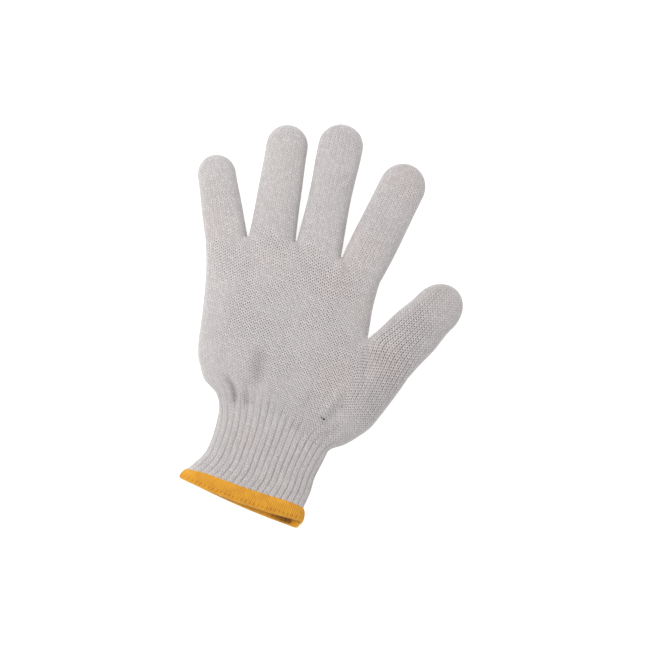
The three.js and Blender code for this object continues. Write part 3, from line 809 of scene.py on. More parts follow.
def straighten_courses(course_at):
    """Adds the stitches of the longer wales, where the rows bow and the courses run straight."""
    more = np.zeros(made.shape)
    last = DIGITS[-1]["start"] - SLOT
    for row in range(CUFF_ROWS, FINGER_BASE_ROW + 1):
        start, end = plan[row, 0], plan[row, last]
        across = (end - start) / np.linalg.norm(end - start)
        upwards = np.array([-across[1], across[0]])
        more[row, :last + 1] = (plan[row, :last + 1] - start) @ upwards / COURSE_PITCH
    for digit in DIGITS[:-1]:
        rows, columns = crossings_of(digit)
        at_base = more[digit["base"], columns]
        kept = 1.0 - smooth_step((row_grid[rows, columns] - digit["base"]) / COURSES_LEVEL_ROWS)
        more[rows, columns] = at_base.mean() + (at_base - at_base.mean()) * kept
    print("courses added in the longest wale:", round(float(more.max()), 1))
    return course_at + more


def count_wales():
    wale_at = column_grid * WALES_PER_COLUMN
    for digit in DIGITS:
        rows, columns = crossings_of(digit)
        half_way = digit["base"] + digit["rows"] // 2
        steps = np.linalg.norm(np.diff(cloth[half_way, columns], axis=0), axis=-1)
        more = steps.sum() / DIGIT_WALE_PITCH / (digit["columns"] * WALES_PER_COLUMN) - 1.0
        middle = (digit["start"] + digit["columns"] / 2.0) * WALES_PER_COLUMN
        grown = 1.0 + more * smooth_step((row_grid[rows, columns] - digit["base"]) / DIGIT_WALE_ROWS)
        wale_at[rows, columns] = middle + (wale_at[rows, columns] - middle) * grown
        print(digit["name"], "has", round(1.0 + more, 2), "times the wales of its columns")
    return wale_at


course_at = straighten_courses(count_courses())
wale_at = count_wales()


# %% [markdown]
# A knit isn't equally open everywhere. It is widest in the middle of the hand and at the knuckles,
# and tight at the edges and in the fingers. Where a tube is drawn lengthwise, as the thumb is, its
# wales stand up as lines. Two arrays keep how loose and how drawn the knit is.

# %% How loose and how drawn the knit is
FULLY_LOOSE_PERCENT = 98
KNUCKLES_LOOSER = 0.3
KNUCKLE_ROWS = 9.0
KNUCKLES_BELOW_BASE = 5.0
THUMB_LOOSER = 0.55
THUMB_FADE_COLUMNS = 8.0
FINGER_FADE_ROWS = 8.0
DRAWN_FINGERS = 0.4
DRAWN_THUMB_FROM = 12.0
DRAWN_THUMB_FADE = 14.0
in_thumb = smooth_step((column_grid - INNER_COLUMN) / THUMB_FADE_COLUMNS)
in_fingers = smooth_step((row_grid - FINGER_BASE_ROW) / FINGER_FADE_ROWS) * (1.0 - in_thumb)
up_thumb = in_thumb * smooth_step((row_grid - CUFF_ROWS - DRAWN_THUMB_FROM) / DRAWN_THUMB_FADE)
knuckles = np.exp(-((row_grid - FINGER_BASE_ROW + KNUCKLES_BELOW_BASE) / KNUCKLE_ROWS) ** 2)
looseness = dome_film / np.percentile(dome_film[made], FULLY_LOOSE_PERCENT)
looseness = looseness + KNUCKLES_LOOSER * knuckles * (1.0 - in_thumb)
looseness = np.clip(looseness + THUMB_LOOSER * in_thumb * roundness, 0.0, 1.0)
drawn = (up_thumb + DRAWN_FINGERS * in_fingers) * roundness
print("mean looseness:", round(float(looseness[made].mean()), 2))


# %% [markdown]
# The bent knit is made by moving the comb's points. The count of wales and courses goes to a UV map,
# and the stitches of the material follow that map round every finger. What else the material needs
# goes along with each point as an attribute.

# %% Bend the comb into the glove
def count_stitches(comb):
    """Writes wales and courses to a UV map, with the back sheet counted on from the front's edge."""
    stitch_map = comb.loops.layers.uv.new("stitches")
    for face in comb.faces:
        depths = {round(v.co.z) for v in face.verts}
        step = 0.5 if len(depths) == 2 else 0.0
        for loop in face.loops:
            column, row, front = (round(value) for value in loop.vert.co)
            behind = step * (1 - front)
            way = 1.0 if front or step else -1.0
            wale, course = way * wale_at[row, column], course_at[row, column]
            loop[stitch_map].uv = (wale + behind, course + behind)


def bend(comb):
    """Moves the flat comb's points to the glove's form."""
    relief = comb.verts.layers.float.new("relief")
    loose = comb.verts.layers.float.new("looseness")
    ridged = comb.verts.layers.float.new("drawn")
    for v in comb.verts:
        column, row, front = (round(value) for value in v.co)
        x, y = plan[row, column] + (1 - front) * depth_shift[row, column]
        v[relief] = (front_relief if front else rib_relief)[row, column]
        v[loose] = looseness[row, column]
        v[ridged] = drawn[row, column]
        v.co = (x, y, top[row, column] if front else under[row, column])
    comb.normal_update()
    moves = {v: v.normal * v[relief] for v in comb.verts}
    for v, move in moves.items():
        v.co += move
        v.co.z = max(v.co.z, 0.0)


count_stitches(comb)
for f in comb.faces:
    f.smooth = True
    f.material_index = int(f.calc_center_median().y < CUFF_ROWS)
bend(comb)
bmesh.ops.recalc_face_normals(comb, faces=comb.faces)
print("bent knit: highest point in mm", round(max(v.co.z for v in comb.verts) / MM, 1))


# %% [markdown]
# The hand and the cuff are one cloth, cut at the wrist into two pieces that share their edge points.
# Where they meet, the edge is kept sharp so that the thickness of the cut doesn't shade the face.

# %% Pieces of the cloth
FABRIC = 1.6 * MM
WALL_CLAMP = 2.0


def link(name, bm):
    """Ends a bmesh as an object of the scene."""
    mesh = bpy.data.meshes.new(name)
    bm.to_mesh(mesh)
    bm.free()
    piece = bpy.data.objects.new(name, mesh)
    bpy.context.scene.collection.objects.link(piece)
    return piece


def knit_piece(name, kept_index):
    """An object with the comb's faces of one material index, given the fabric's thickness."""
    part = comb.copy()
    spare = [f for f in part.faces if f.material_index != kept_index]
    bmesh.ops.delete(part, geom=spare, context="FACES")
    for f in part.faces:
        f.material_index = 0
    for edge in part.edges:
        edge.smooth = not edge.is_boundary
    piece = link(name, part)
    wall = piece.modifiers.new("fabric", "SOLIDIFY")
    wall.thickness = FABRIC
    wall.offset = -1.0
    wall.thickness_clamp = WALL_CLAMP
    return piece


body = knit_piece("knit_body", 0)
cuff = knit_piece("knit_cuff", 1)
print("knit:", len(body.data.polygons), "faces in the body,", len(cuff.data.polygons), "in the cuff")


# %% [markdown]
# The open edge is overlocked: yarn is thrown round the end of the knit again and again, so close that
# it makes a firm band. The band follows the mouth, so its path is read from the cuff's first row,
# from the middle of the back round the front and back again. A second path beside it tells which way
# is out of the mouth. Both are eased, because a sewn band doesn't follow every rib.

# %% The path of the mouth
HEM_WIDTH = 10.5 * MM
HEM_THICKNESS = 3.9 * MM
HEM_END_NARROWING = 0.3
HEM_END_POWER = 6
WRAP_PITCH = 1.25 * MM
RINGS_PER_WRAP = 6
HEM_PAST_END = 0.9 * MM
PATH_EASE_ROUNDS = 260
UPPER_ROW = 5


def row_line(row, front):
    """Places of all columns on one row of a sheet, at the middle of the fabric."""
    flat = plan[row] + (0.0 if front else 1.0) * depth_shift[row]
    middle = (top[row] + under[row]) / 2.0
    if front:
        height = np.maximum(top[row] - FABRIC / 2.0, middle)
    else:
        height = np.minimum(under[row] + FABRIC / 2.0, middle)
    return np.column_stack([flat, height])


def closed_path(row):
    """The loop round the mouth, from the middle of the back round the front to the back again."""
    front, back = row_line(row, True), row_line(row, False)
    half = COLUMNS // 2
    return np.vstack([back[half:0:-1], front, back[:half:-1]])


def evenly_spaced(loop, count, beside):
    """The loop, and another that runs beside it, read again at even steps along the loop."""
    closed = np.vstack([loop, loop[:1]])
    steps = np.linalg.norm(np.diff(closed, axis=0), axis=1)
    places = np.concatenate([[0.0], np.cumsum(steps)])
    at = np.linspace(0.0, places[-1], count, endpoint=False)
    loops = [np.vstack([points, points[:1]]) for points in (loop, beside)]
    return [read_at(at, places, points) for points in loops]


def eased(loop, rounds):
    for _ in range(rounds):
        loop = 0.5 * loop + 0.25 * (np.roll(loop, 1, axis=0) + np.roll(loop, -1, axis=0))
    return loop


def unit(vectors):
    return vectors / np.linalg.norm(vectors, axis=-1, keepdims=True)


end_loop = closed_path(0)
loop_length = np.linalg.norm(end_loop - np.roll(end_loop, 1, axis=0), axis=1).sum()
WRAPS = int(loop_length / WRAP_PITCH)
end_path, upper_path = evenly_spaced(end_loop, WRAPS * RINGS_PER_WRAP, closed_path(UPPER_ROW))
end_path, upper_path = eased(end_path, PATH_EASE_ROUNDS), eased(upper_path, PATH_EASE_ROUNDS)
hem_out = unit(end_path - upper_path)
hem_along = unit(np.roll(end_path, -1, axis=0) - np.roll(end_path, 1, axis=0))
hem_up = unit(np.cross(hem_out, hem_along))
if hem_up[len(hem_up) // 2, 2] < 0.0:
    hem_up = -hem_up
mouth_middle = end_path.mean(axis=0)
from_middle = np.abs((end_path - mouth_middle)[:, :2] @ wrist_across)
hem_ends = (from_middle / from_middle.max()) ** HEM_END_POWER
hem_widths = HEM_WIDTH * (1.0 - HEM_END_NARROWING * hem_ends)
hem_centre = end_path + hem_out * (HEM_PAST_END - hem_widths / 2.0)[:, None]
print("overlock wraps round the mouth:", WRAPS)


# %% [markdown]
# The band is a row of rings along that path, bridged into one closed roll. Each ring is a little
# larger or smaller than the next, and the phase runs on round the ring, so the wraps slant as sewn
# ones do. A row of needle pits runs along the band on its outer face. Each point keeps which wrap it
# is on and where round the ring it is, for the yarn's colour.

# %% The overlocked band
RING_POINTS = 28
WRAP_RELIEF = 0.17 * MM
WRAP_SLANT = 2.2
PIT_DEPTH = 0.4 * MM
PIT_PITCH_RINGS = 13
PIT_ANGLE = 1.05
PIT_SPREAD = 0.2
BAND_FULLNESS = 0.75


def rounded(value):
    """Fills a circle's sine or cosine out towards a box with round corners."""
    return math.copysign(abs(value) ** BAND_FULLNESS, value)


def place_ring(bm, ring_number, wrap, around):
    """One ring of the band, in the plane of the ways out and up."""
    centre, out, up = hem_centre[ring_number], hem_out[ring_number], hem_up[ring_number]
    phase = 2.0 * math.pi * ring_number / RINGS_PER_WRAP
    pit_row = 0.5 + 0.5 * math.cos(2.0 * math.pi * ring_number / PIT_PITCH_RINGS)
    for v in bmesh.ops.create_circle(bm, segments=RING_POINTS, radius=1.0)["verts"]:
        angle = math.atan2(v.co.y, v.co.x)
        swell = WRAP_RELIEF * math.cos(phase + WRAP_SLANT * math.cos(angle))
        swell -= PIT_DEPTH * pit_row**2 * math.exp(-((angle - PIT_ANGLE) / PIT_SPREAD) ** 2)
        width = (hem_widths[ring_number] / 2.0 + swell) * rounded(math.cos(angle))
        height = (HEM_THICKNESS / 2.0 + swell) * rounded(math.sin(angle))
        v.co = Vector(centre + out * width + up * height)
        v.co.z = max(v.co.z, 0.0)
        v[wrap] = ring_number / RINGS_PER_WRAP + WRAP_SLANT * math.cos(angle) / (2.0 * math.pi)
        v[around] = angle


def hem_band():
    bm = bmesh.new()
    wrap = bm.verts.layers.float.new("wrap")
    around = bm.verts.layers.float.new("around")
    for ring_number in range(len(hem_centre)):
        place_ring(bm, ring_number, wrap, around)
    bmesh.ops.bridge_loops(bm, edges=bm.edges[:], use_cyclic=True)
    bmesh.ops.recalc_face_normals(bm, faces=bm.faces)
    for f in bm.faces:
        f.smooth = True
    return link("hem_band", bm)


hem = hem_band()
print("hem band:", len(hem.data.polygons), "faces")


# %% [markdown]
# Materials come next. They are made of nodes, and a few small helpers keep the node trees readable:
# a value or a link goes into a socket the same way, and a chain of products is one call.

# %% Small helpers for nodes
def value_into(tree, socket, value):
    if isinstance(value, bpy.types.NodeSocket):
        tree.links.new(value, socket)
    else:
        socket.default_value = value


def calculate(tree, operation, *values):
    """A Math node; values are numbers or sockets."""
    node = tree.nodes.new("ShaderNodeMath")
    node.operation = operation
    for socket, value in zip(node.inputs, values):
        value_into(tree, socket, value)
    return node.outputs[0]


def product(tree, first, *others):
    """All values multiplied, one after the other."""
    for other in others:
        first = calculate(tree, "MULTIPLY", first, other)
    return first


def ramp(tree, value, low, high, to_low=0.0, to_high=1.0):
    """A smooth step from to_low to to_high while value goes from low to high."""
    node = tree.nodes.new("ShaderNodeMapRange")
    node.interpolation_type = "SMOOTHSTEP"
    for name, entry in zip(("Value", "From Min", "From Max", "To Min", "To Max"),
                           (value, low, high, to_low, to_high)):
        value_into(tree, node.inputs[name], entry)
    return node.outputs["Result"]


def noise(tree, vector, scale, detail=2.0):
    node = tree.nodes.new("ShaderNodeTexNoise")
    node.inputs["Scale"].default_value = scale
    node.inputs["Detail"].default_value = detail
    tree.links.new(vector, node.inputs["Vector"])
    return node.outputs["Fac"]


def chance(tree, x, y):
    """A random number for each pair of whole numbers."""
    cell = tree.nodes.new("ShaderNodeCombineXYZ")
    tree.links.new(x, cell.inputs["X"])
    tree.links.new(y, cell.inputs["Y"])
    node = tree.nodes.new("ShaderNodeTexWhiteNoise")
    node.noise_dimensions = "2D"
    tree.links.new(cell.outputs[0], node.inputs["Vector"])
    return node.outputs["Value"]


# %% [markdown]
# One node group draws the stitches. It reads the UV map that counts wales and courses. Every stitch
# of jersey is a V of two slanted legs, and the cloth is open in two places: in the point of the V,
# and between two wales half a course higher. The group makes the legs' height and those holes, each
# a little different from the next. It also gives a random number for each leg of yarn, and tells how
# near the line between two wales is.

# %% The stitches as a node group
LEG_RISE = 1.0
LEG_FULLNESS = 0.6
LEG_LEAST = 0.25
STRAND_FULLNESS = 0.5
HOLE_ALONG = (-0.35, 1.0)
HOLE_ACROSS = (-0.2, 1.0)
HOLE_SIZES = (0.45, 1.15)
HOLE_DEPTH = 0.7
WALE_LINE_FROM = 0.18


def new_group(name, inputs, outputs):
    """A node group; inputs and outputs are (name, kind)."""
    tree = bpy.data.node_groups.new(name, "ShaderNodeTree")
    for way, sockets in (("INPUT", inputs), ("OUTPUT", outputs)):
        for label, kind in sockets:
            tree.interface.new_socket(name=label, in_out=way, socket_type=kind)
    start = tree.nodes.new("NodeGroupInput")
    end = tree.nodes.new("NodeGroupOutput")
    return tree, start.outputs, end.inputs


def stitch_group():
    """Jersey stitches over a map of wales and courses."""
    tree, given, result = new_group(
        "knit_stitches", [("Stitches", "NodeSocketVector")],
        [(label, "NodeSocketFloat") for label in ("Height", "Hole", "Yarn", "Between")])
    split = tree.nodes.new("ShaderNodeSeparateXYZ")
    tree.links.new(given["Stitches"], split.inputs[0])
    wale, course = split.outputs["X"], split.outputs["Y"]
    across = calculate(tree, "SUBTRACT", calculate(tree, "FRACT", wale), 0.5)
    side = calculate(tree, "ABSOLUTE", across)
    slanted = calculate(tree, "SUBTRACT", course, product(tree, side, LEG_RISE))
    along_leg = calculate(tree, "COSINE", product(tree, slanted, 2.0 * math.pi))
    across_leg = calculate(tree, "COSINE", product(tree, side, 4.0 * math.pi))
    leg = calculate(tree, "POWER", calculate(tree, "MULTIPLY_ADD", across_leg, -0.5, 0.5), LEG_FULLNESS)
    leg = calculate(tree, "MULTIPLY_ADD", leg, 1.0 - LEG_LEAST, LEG_LEAST)
    strand = calculate(tree, "MULTIPLY_ADD", along_leg, -0.5, 0.5)
    height = product(tree, calculate(tree, "POWER", strand, STRAND_FULLNESS), leg)
    gap = product(tree, ramp(tree, across_leg, *HOLE_ACROSS), ramp(tree, along_leg, *HOLE_ALONG))
    half_wales = product(tree, wale, 2.0)
    hole_chance = chance(tree, calculate(tree, "ROUND", half_wales), calculate(tree, "ROUND", slanted))
    yarn_chance = chance(tree, calculate(tree, "FLOOR", half_wales), calculate(tree, "FLOOR", slanted))
    sunk = product(tree, gap, -HOLE_DEPTH)
    raised = calculate(tree, "MULTIPLY_ADD", height, 1.0 - HOLE_DEPTH, sunk)
    tree.links.new(calculate(tree, "ADD", raised, HOLE_DEPTH), result["Height"])
    tree.links.new(product(tree, gap, ramp(tree, hole_chance, 0.0, 1.0, *HOLE_SIZES)), result["Hole"])
    tree.links.new(yarn_chance, result["Yarn"])
    tree.links.new(ramp(tree, side, WALE_LINE_FROM, 0.5), result["Between"])
    return tree


stitches = stitch_group()
print("nodes in the stitch group:", len(stitches.nodes))


# %% [markdown]
# Marks that sit at one place of the glove are drawn as soft spots from a table, by the distance to
# the spot's middle. Height counts for little in that distance, just enough to keep a mark off the
# other side of the glove. Two tables belong to the knit: stitches that slipped and left a hole, and
# patches where the cotton leans to pink. A spot's radius is in millimetres.

# %% Spots at places of the glove
# Slipped stitches feed the holes, so they too are painted with the shade of the glove's dark inside.
SLIPPED_STITCHES = [
    {"at": (0.576, 0.279), "radius": 0.7, "dark": 0.9},
    {"at": (0.585, 0.276), "radius": 0.85, "dark": 1.0},
    {"at": (0.583, 0.266), "radius": 0.6, "dark": 0.45},
    {"at": (0.640, 0.314), "radius": 0.7, "dark": 0.45},
    {"at": (0.633, 0.266), "radius": 0.6, "dark": 0.45},
    {"at": (0.329, 0.286), "radius": 0.6, "dark": 0.55},
    {"at": (0.449, 0.164), "radius": 0.55, "dark": 0.5},
]
BLUSHES = [
    {"at": (0.603, 0.700), "radius": 13.0, "dark": 0.9},
    {"at": (0.550, 0.610), "radius": 10.0, "dark": 0.8},
    {"at": (0.655, 0.560), "radius": 9.0, "dark": 0.8},
    {"at": (0.758, 0.445), "radius": 14.0, "dark": 1.0},
    {"at": (0.605, 0.380), "radius": 12.0, "dark": 0.9},
    {"at": (0.916, 0.607), "radius": 14.0, "dark": 0.7},
    {"at": (0.097, 0.690), "radius": 10.0, "dark": 0.7},
    {"at": (0.310, 0.640), "radius": 7.0, "dark": 0.6},
    {"at": (0.713, 0.883), "radius": 14.0, "dark": 0.6},
    {"at": (0.330, 0.190), "radius": 8.0, "dark": 0.5},
    {"at": (0.450, 0.110), "radius": 7.0, "dark": 0.5},
]
SIDE_WEIGHT = 0.12
TOP_HEIGHT_SHARE = 0.75
SPOT_END = 1.5


def spots(tree, places, table, soft, height_share=TOP_HEIGHT_SHARE):
    """The table's strength at each of its places, fading to 0 over the radius; one side only."""
    most = None
    for spot in table:
        x, y = place(*spot["at"])
        flat = tree.nodes.new("ShaderNodeVectorMath")
        flat.operation = "MULTIPLY"
        flat.inputs[1].default_value = (1.0, 1.0, SIDE_WEIGHT)
        away = tree.nodes.new("ShaderNodeVectorMath")
        away.operation = "DISTANCE"
        away.inputs[1].default_value = (x, y, SIDE_WEIGHT * height_share * GLOVE_HEIGHT)
        tree.links.new(places, flat.inputs[0])
        tree.links.new(flat.outputs[0], away.inputs[0])
        radius = spot["radius"] * MM
        there = ramp(tree, away.outputs["Value"], soft * radius, SPOT_END * radius, spot["dark"], 0.0)
        most = there if most is None else calculate(tree, "MAXIMUM", most, there)
    return most


print("slipped stitches:", len(SLIPPED_STITCHES), "pink patches:", len(BLUSHES))


# %% [markdown]
# Every finish starts in the same way: a Principled shader with its plain values, the object's own
# coordinates, and attributes of the mesh. These helpers make them once.

# %% Helpers for the finishes
def material(name, settings):
    """A new material with its tree and its Principled shader, whose plain values are set."""
    finish = bpy.data.materials.new(name)
    finish.use_nodes = True
    shader = finish.node_tree.nodes["Principled BSDF"]
    for socket, value in settings.items():
        shader.inputs[socket].default_value = value
    return finish, finish.node_tree, shader


def attribute(tree, name):
    node = tree.nodes.new("ShaderNodeAttribute")
    node.attribute_name = name
    return node.outputs["Fac"]


def own_places(tree):
    return tree.nodes.new("ShaderNodeTexCoord").outputs["Object"]


def add_bump(tree, shader, height, strength, distance):
    bump = tree.nodes.new("ShaderNodeBump")
    bump.inputs["Strength"].default_value = strength
    bump.inputs["Distance"].default_value = distance
    tree.links.new(height, bump.inputs["Height"])
    tree.links.new(bump.outputs[0], shader.inputs["Normal"])


def mix_colour(tree, share, first, second, blend="MIX"):
    node = tree.nodes.new("ShaderNodeMix")
    node.data_type = "RGBA"
    node.blend_type = blend
    colours = [socket for socket in node.inputs if socket.type == "RGBA"]
    value_into(tree, node.inputs["Factor"], share)
    value_into(tree, colours[0], first)
    value_into(tree, colours[1], second)
    return next(socket for socket in node.outputs if socket.type == "RGBA")


def grey(tree, value):
    """A colour whose three parts are one value."""
    node = tree.nodes.new("ShaderNodeCombineColor")
    for channel in node.inputs:
        tree.links.new(value, channel)
    return node.outputs[0]


# %% [markdown]
# Unbleached cotton is never one colour. The tone drifts slowly over the glove between cool and warm,
# some patches lean to pink, and single fibres stand up as fuzz. Every leg of yarn has a shade of its
# own. Painted shade is laid over that: the low parts of the legs, the line between two wales where the
# tube is drawn lengthwise, and the places where the knit sinks in a fold are painted darker. The holes
# are painted with the shade of the glove's dark inside, and they open most where the knit is loose.

# %% Colours of the cotton
COTTON = (0.510, 0.483, 0.480, 1.0)
RIB_COTTON = (0.520, 0.493, 0.488, 1.0)
COOL_TONE = (0.95, 0.955, 0.96, 1.0)
WARM_TONE = (1.03, 1.02, 1.01, 1.0)
PINK_TONE = (1.02, 0.96, 0.965, 1.0)
HOLE_SHADE = (0.05, 0.046, 0.046, 1.0)
DRIFT_SCALE = 28.0
PATCH_SCALE = 55.0
BLUSH_SCALE = 60.0
FIBRE_SCALE = 1100.0
YARN_SPREAD = 0.2
PAINTED_LEG_HEIGHT_SHADE = (0.9, 1.04)
FIBRE_SHADES = (0.95, 1.05)
PAINTED_WALE_LINE_SHADE = (1.03, 0.76)
WALE_LINE_DEPTH = 0.3
PAINTED_FOLD_SHADE = 0.88
FOLD_DEPTHS = (-3.0 * MM, -0.7 * MM)


def knit_tone(tree, places, yarn_colour):
    """The yarn's colour, with its slow drift and its pink patches."""
    blush = ramp(tree, noise(tree, places, BLUSH_SCALE, 3.0), 0.25, 0.6, 0.4, 1.0)
    blush = product(tree, blush, spots(tree, places, BLUSHES, 0.1))
    tone = mix_colour(tree, noise(tree, places, DRIFT_SCALE, 3.0), COOL_TONE, WARM_TONE)
    tone = mix_colour(tree, blush, tone, PINK_TONE)
    return mix_colour(tree, 1.0, yarn_colour, tone, "MULTIPLY")


def knit_shade(tree, places, knit, wale_lines):
    """How light the yarn is: by leg and by fibre, with painted shade by height, in the wale lines and
    in the folds.
    """
    legs = calculate(tree, "MULTIPLY_ADD", knit["Yarn"], YARN_SPREAD, 1.0 - YARN_SPREAD / 2.0)
    fibres = ramp(tree, noise(tree, places, FIBRE_SCALE), 0.3, 0.7, *FIBRE_SHADES)
    # Painted shade: the low parts of each leg are darker and the raised ones lighter.
    heights = ramp(tree, knit["Height"], 0.0, 1.0, *PAINTED_LEG_HEIGHT_SHADE)
    # Painted shade in the grooves between wales, where the tube is drawn lengthwise.
    lines = ramp(tree, wale_lines, 0.0, 1.0, *PAINTED_WALE_LINE_SHADE)
    # Painted shade where the knit sinks in a fold, by its relief.
    folds = ramp(tree, attribute(tree, "relief"), *FOLD_DEPTHS, PAINTED_FOLD_SHADE, 1.0)
    return product(tree, legs, fibres, heights, lines, folds)


def knit_hole_shade(tree, places, knit, patches, openness):
    """How much painted shade of the glove's dark inside shows in the holes; openness is for the
    tightest and the loosest knit.
    """
    open_share = ramp(tree, attribute(tree, "looseness"), 0.15, 0.85, *openness)
    hole = product(tree, knit["Hole"], patches, open_share)
    hole = calculate(tree, "MAXIMUM", hole, spots(tree, places, SLIPPED_STITCHES, 0.4))
    return calculate(tree, "MINIMUM", hole, 1.0)


# %% [markdown]
# The body and the cuff share one recipe. The cuff's yarn is a little lighter, and its ribs are drawn
# in, so its holes open less.

# %% The knit's materials
KNIT_SETTINGS = {
    "Roughness": 0.9, "Specular IOR Level": 0.15, "Sheen Weight": 0.45, "Sheen Roughness": 0.6,
}
BODY_OPENNESS = (0.42, 1.3)
CUFF_OPENNESS = (0.5, 0.65)


def knit_material(name, yarn_colour, openness):
    finish, tree, shader = material(name, KNIT_SETTINGS)
    uv = tree.nodes.new("ShaderNodeUVMap")
    uv.uv_map = "stitches"
    group = tree.nodes.new("ShaderNodeGroup")
    group.node_tree = stitches
    tree.links.new(uv.outputs[0], group.inputs["Stitches"])
    knit, places = group.outputs, own_places(tree)
    patches = ramp(tree, noise(tree, places, PATCH_SCALE, 3.0), 0.36, 0.64, 0.55, 1.2)
    wale_lines = product(tree, knit["Between"], attribute(tree, "drawn"), patches)
    shade = grey(tree, knit_shade(tree, places, knit, wale_lines))
    tone = mix_colour(tree, 1.0, knit_tone(tree, places, yarn_colour), shade, "MULTIPLY")
    # The holes are painted with the shade of the glove's dark inside.
    tone = mix_colour(tree, knit_hole_shade(tree, places, knit, patches, openness), tone, HOLE_SHADE)
    tree.links.new(tone, shader.inputs["Base Color"])
    relief = calculate(tree, "MULTIPLY_ADD", wale_lines, -WALE_LINE_DEPTH, knit["Height"])
    add_bump(tree, shader, relief, 0.45, 0.4 * MM)
    print(name, "has", len(tree.nodes), "nodes")
    return finish


body.data.materials.append(knit_material("plain_knit", COTTON, BODY_OPENNESS))
cuff.data.materials.append(knit_material("rib_knit", RIB_COTTON, CUFF_OPENNESS))


# %% [markdown]
# The overlock yarn is golden, with worn patches a little deeper. Painted shade makes it deeper between
# its wraps, so they look lighter where they stand up, and deepest in the needle pits. Where the two
# rims of the mouth lie apart, at the thumb's side, the lower one is painted dark with the shade of the
# opening.

# %% The golden yarn
HEM_SETTINGS = {"Roughness": 0.62, "Specular IOR Level": 0.3, "Sheen Weight": 0.2}
HEM_GOLD = (0.83, 0.41, 0.025, 1.0)
HEM_WORN_AND_SHADED = (0.55, 0.20, 0.015, 1.0)
HEM_GREENISH = (0.70, 0.45, 0.05, 1.0)
HEM_WORN_SCALE = 160.0
HEM_FIBRE_SCALE = 1500.0
BETWEEN_WRAPS_SHADE = 0.35
WORN_DEEP = 0.35
PIT_SHADE = 0.5
EDGE_GREENISH = 0.5
EDGE_ANGLE = 0.7
MOUTH_SHADE = (0.16, 0.06, 0.008, 1.0)
MOUTH_HEIGHT_SHARE = 0.2
MOUTH_SLIT = [
    {"at": (0.468, 0.019), "radius": 1.3, "dark": 0.4},
    {"at": (0.484, 0.017), "radius": 1.6, "dark": 0.6},
    {"at": (0.500, 0.015), "radius": 1.8, "dark": 0.75},
    {"at": (0.514, 0.014), "radius": 1.8, "dark": 0.85},
    {"at": (0.527, 0.013), "radius": 1.7, "dark": 0.8},
]


def needle_pits(tree, wrap, around):
    """1 in the middle of a needle pit, 0 away from their line."""
    from_line = calculate(tree, "ABSOLUTE", calculate(tree, "SUBTRACT", around, PIT_ANGLE))
    on_line = ramp(tree, from_line, 0.0, 2.0 * PIT_SPREAD, 1.0, 0.0)
    turns = product(tree, wrap, 2.0 * math.pi * RINGS_PER_WRAP / PIT_PITCH_RINGS)
    return product(tree, on_line, ramp(tree, calculate(tree, "COSINE", turns), -0.4, 1.0))


def yarn_material():
    finish, tree, shader = material("hem_yarn", HEM_SETTINGS)
    wrap, around = attribute(tree, "wrap"), attribute(tree, "around")
    places = own_places(tree)
    crest = calculate(tree, "COSINE", product(tree, wrap, 2.0 * math.pi))
    # Painted shade between the wraps, lighter on their crests.
    between = ramp(tree, crest, -1.0, 1.0, BETWEEN_WRAPS_SHADE, 0.0)
    worn = ramp(tree, noise(tree, places, HEM_WORN_SCALE), 0.3, 0.7, 0.0, WORN_DEEP)
    worn_and_shaded = calculate(tree, "ADD", between, worn)
    # Painted shade in the needle pits, added to the worn patches.
    worn_and_shaded = calculate(tree, "MULTIPLY_ADD", needle_pits(tree, wrap, around), PIT_SHADE, worn_and_shaded)
    tone = mix_colour(tree, calculate(tree, "MINIMUM", worn_and_shaded, 1.0), HEM_GOLD, HEM_WORN_AND_SHADED)
    edge = ramp(tree, calculate(tree, "ABSOLUTE", around), 0.0, EDGE_ANGLE, EDGE_GREENISH, 0.0)
    tone = mix_colour(tree, edge, tone, HEM_GREENISH)
    slit = spots(tree, places, MOUTH_SLIT, 0.5, MOUTH_HEIGHT_SHARE)
    tree.links.new(mix_colour(tree, slit, tone, MOUTH_SHADE), shader.inputs["Base Color"])
    add_bump(tree, shader, noise(tree, places, HEM_FIBRE_SCALE), 0.4, 0.2 * MM)
    return finish


hem.data.materials.append(yarn_material())
print("places in the mouth's slit:", len(MOUTH_SLIT))


# %% [markdown]
# Every piece rides on the part's one body and stands for the plain solids under it.

# %% Tie the pieces to the frame
FRAME_PIECES = [
    (body, "plain_knit", [digit["name"] for digit in DIGITS] + ["palm"]),
    (cuff, "rib_knit", ["rib_cuff"]),
    (hem, "hem_yarn", ["hem"]),
]
for piece, finish, nodes in FRAME_PIECES:
    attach(piece, "root")
    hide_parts(*nodes)
    print(piece.name, "stands for", ", ".join(nodes))


# %% [markdown]
# The stage is a white light table, which keeps shadows faint, under a pale sky and two large soft
# lamps. The one at the little finger's side is nearer and stronger. The camera looks straight down,
# as in the photograph.

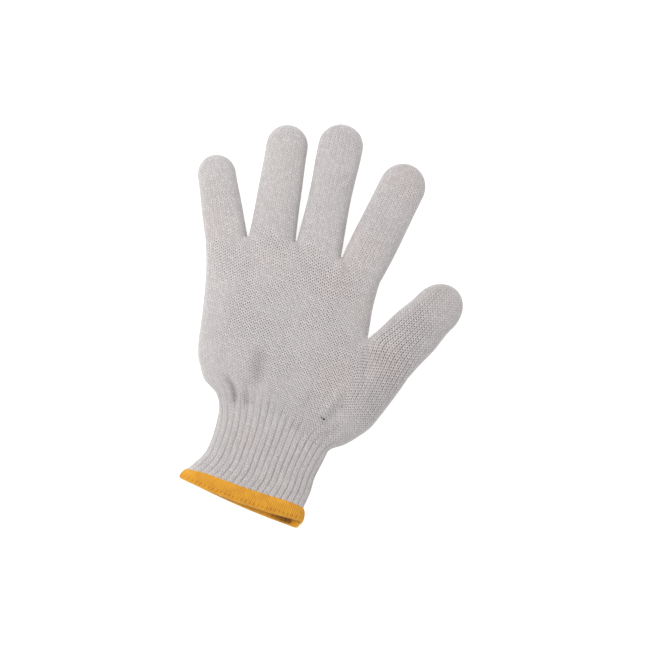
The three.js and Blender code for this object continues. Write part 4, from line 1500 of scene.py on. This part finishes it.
# %% Floor, lights and camera
FLOOR_REACH = 6.0
CAMERA_HEIGHT = 1.6
SENSOR_WIDTH = 36.0
VIEW_WIDTH = 403.0 * MM
VIEW_MIDDLE = (5.6 * MM, 0.8 * MM)
VIEW_TURN = 10.0
WHITE = (1.0, 1.0, 1.0, 1.0)
SKY_STRENGTH = 0.58
FLOOR_SETTINGS = {
    "Base Color": (0.85, 0.85, 0.85, 1.0), "Roughness": 0.95,
    "Emission Color": WHITE, "Emission Strength": 0.6,
}
LAMPS = [
    {"name": "soft_key", "at": (-0.38, 0.2, 0.56), "size": 0.35, "power": 2.9},
    {"name": "soft_fill", "at": (1.1, -0.4, 1.6), "size": 1.4, "power": 3.9},
]
scene = bpy.context.scene


def floor():
    bm = bmesh.new()
    bmesh.ops.create_grid(bm, x_segments=1, y_segments=1, size=FLOOR_REACH)
    ground = link("floor", bm)
    ground.data.materials.append(material("pale_floor", FLOOR_SETTINGS)[0])
    ground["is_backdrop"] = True


def hang_lamp(name, at, size, power):
    """A square lamp that shines at the glove."""
    light = bpy.data.lights.new(name, "AREA")
    light.shape = "SQUARE"
    light.size = size
    light.energy = power
    lamp = bpy.data.objects.new(name, light)
    lamp.location = at
    lamp.rotation_euler = (-Vector(at)).to_track_quat("-Z", "Y").to_euler()
    scene.collection.objects.link(lamp)


def sky():
    world = bpy.data.worlds.new("studio")
    world.use_nodes = True
    background = world.node_tree.nodes["Background"]
    background.inputs["Color"].default_value = WHITE
    background.inputs["Strength"].default_value = SKY_STRENGTH
    scene.world = world


def photo_camera():
    lens = bpy.data.cameras.new("photo_camera")
    lens.sensor_width = SENSOR_WIDTH
    lens.lens = SENSOR_WIDTH * CAMERA_HEIGHT / VIEW_WIDTH
    camera = bpy.data.objects.new("photo_camera", lens)
    camera.location = (*VIEW_MIDDLE, CAMERA_HEIGHT)
    camera.rotation_euler = (0.0, 0.0, math.radians(VIEW_TURN))
    scene.collection.objects.link(camera)
    scene.camera = camera
    print("lens in mm:", round(lens.lens, 1))


floor()
for entry in LAMPS:
    hang_lamp(entry["name"], entry["at"], entry["size"], entry["power"])
sky()
scene.view_settings.view_transform = "Standard"
photo_camera()
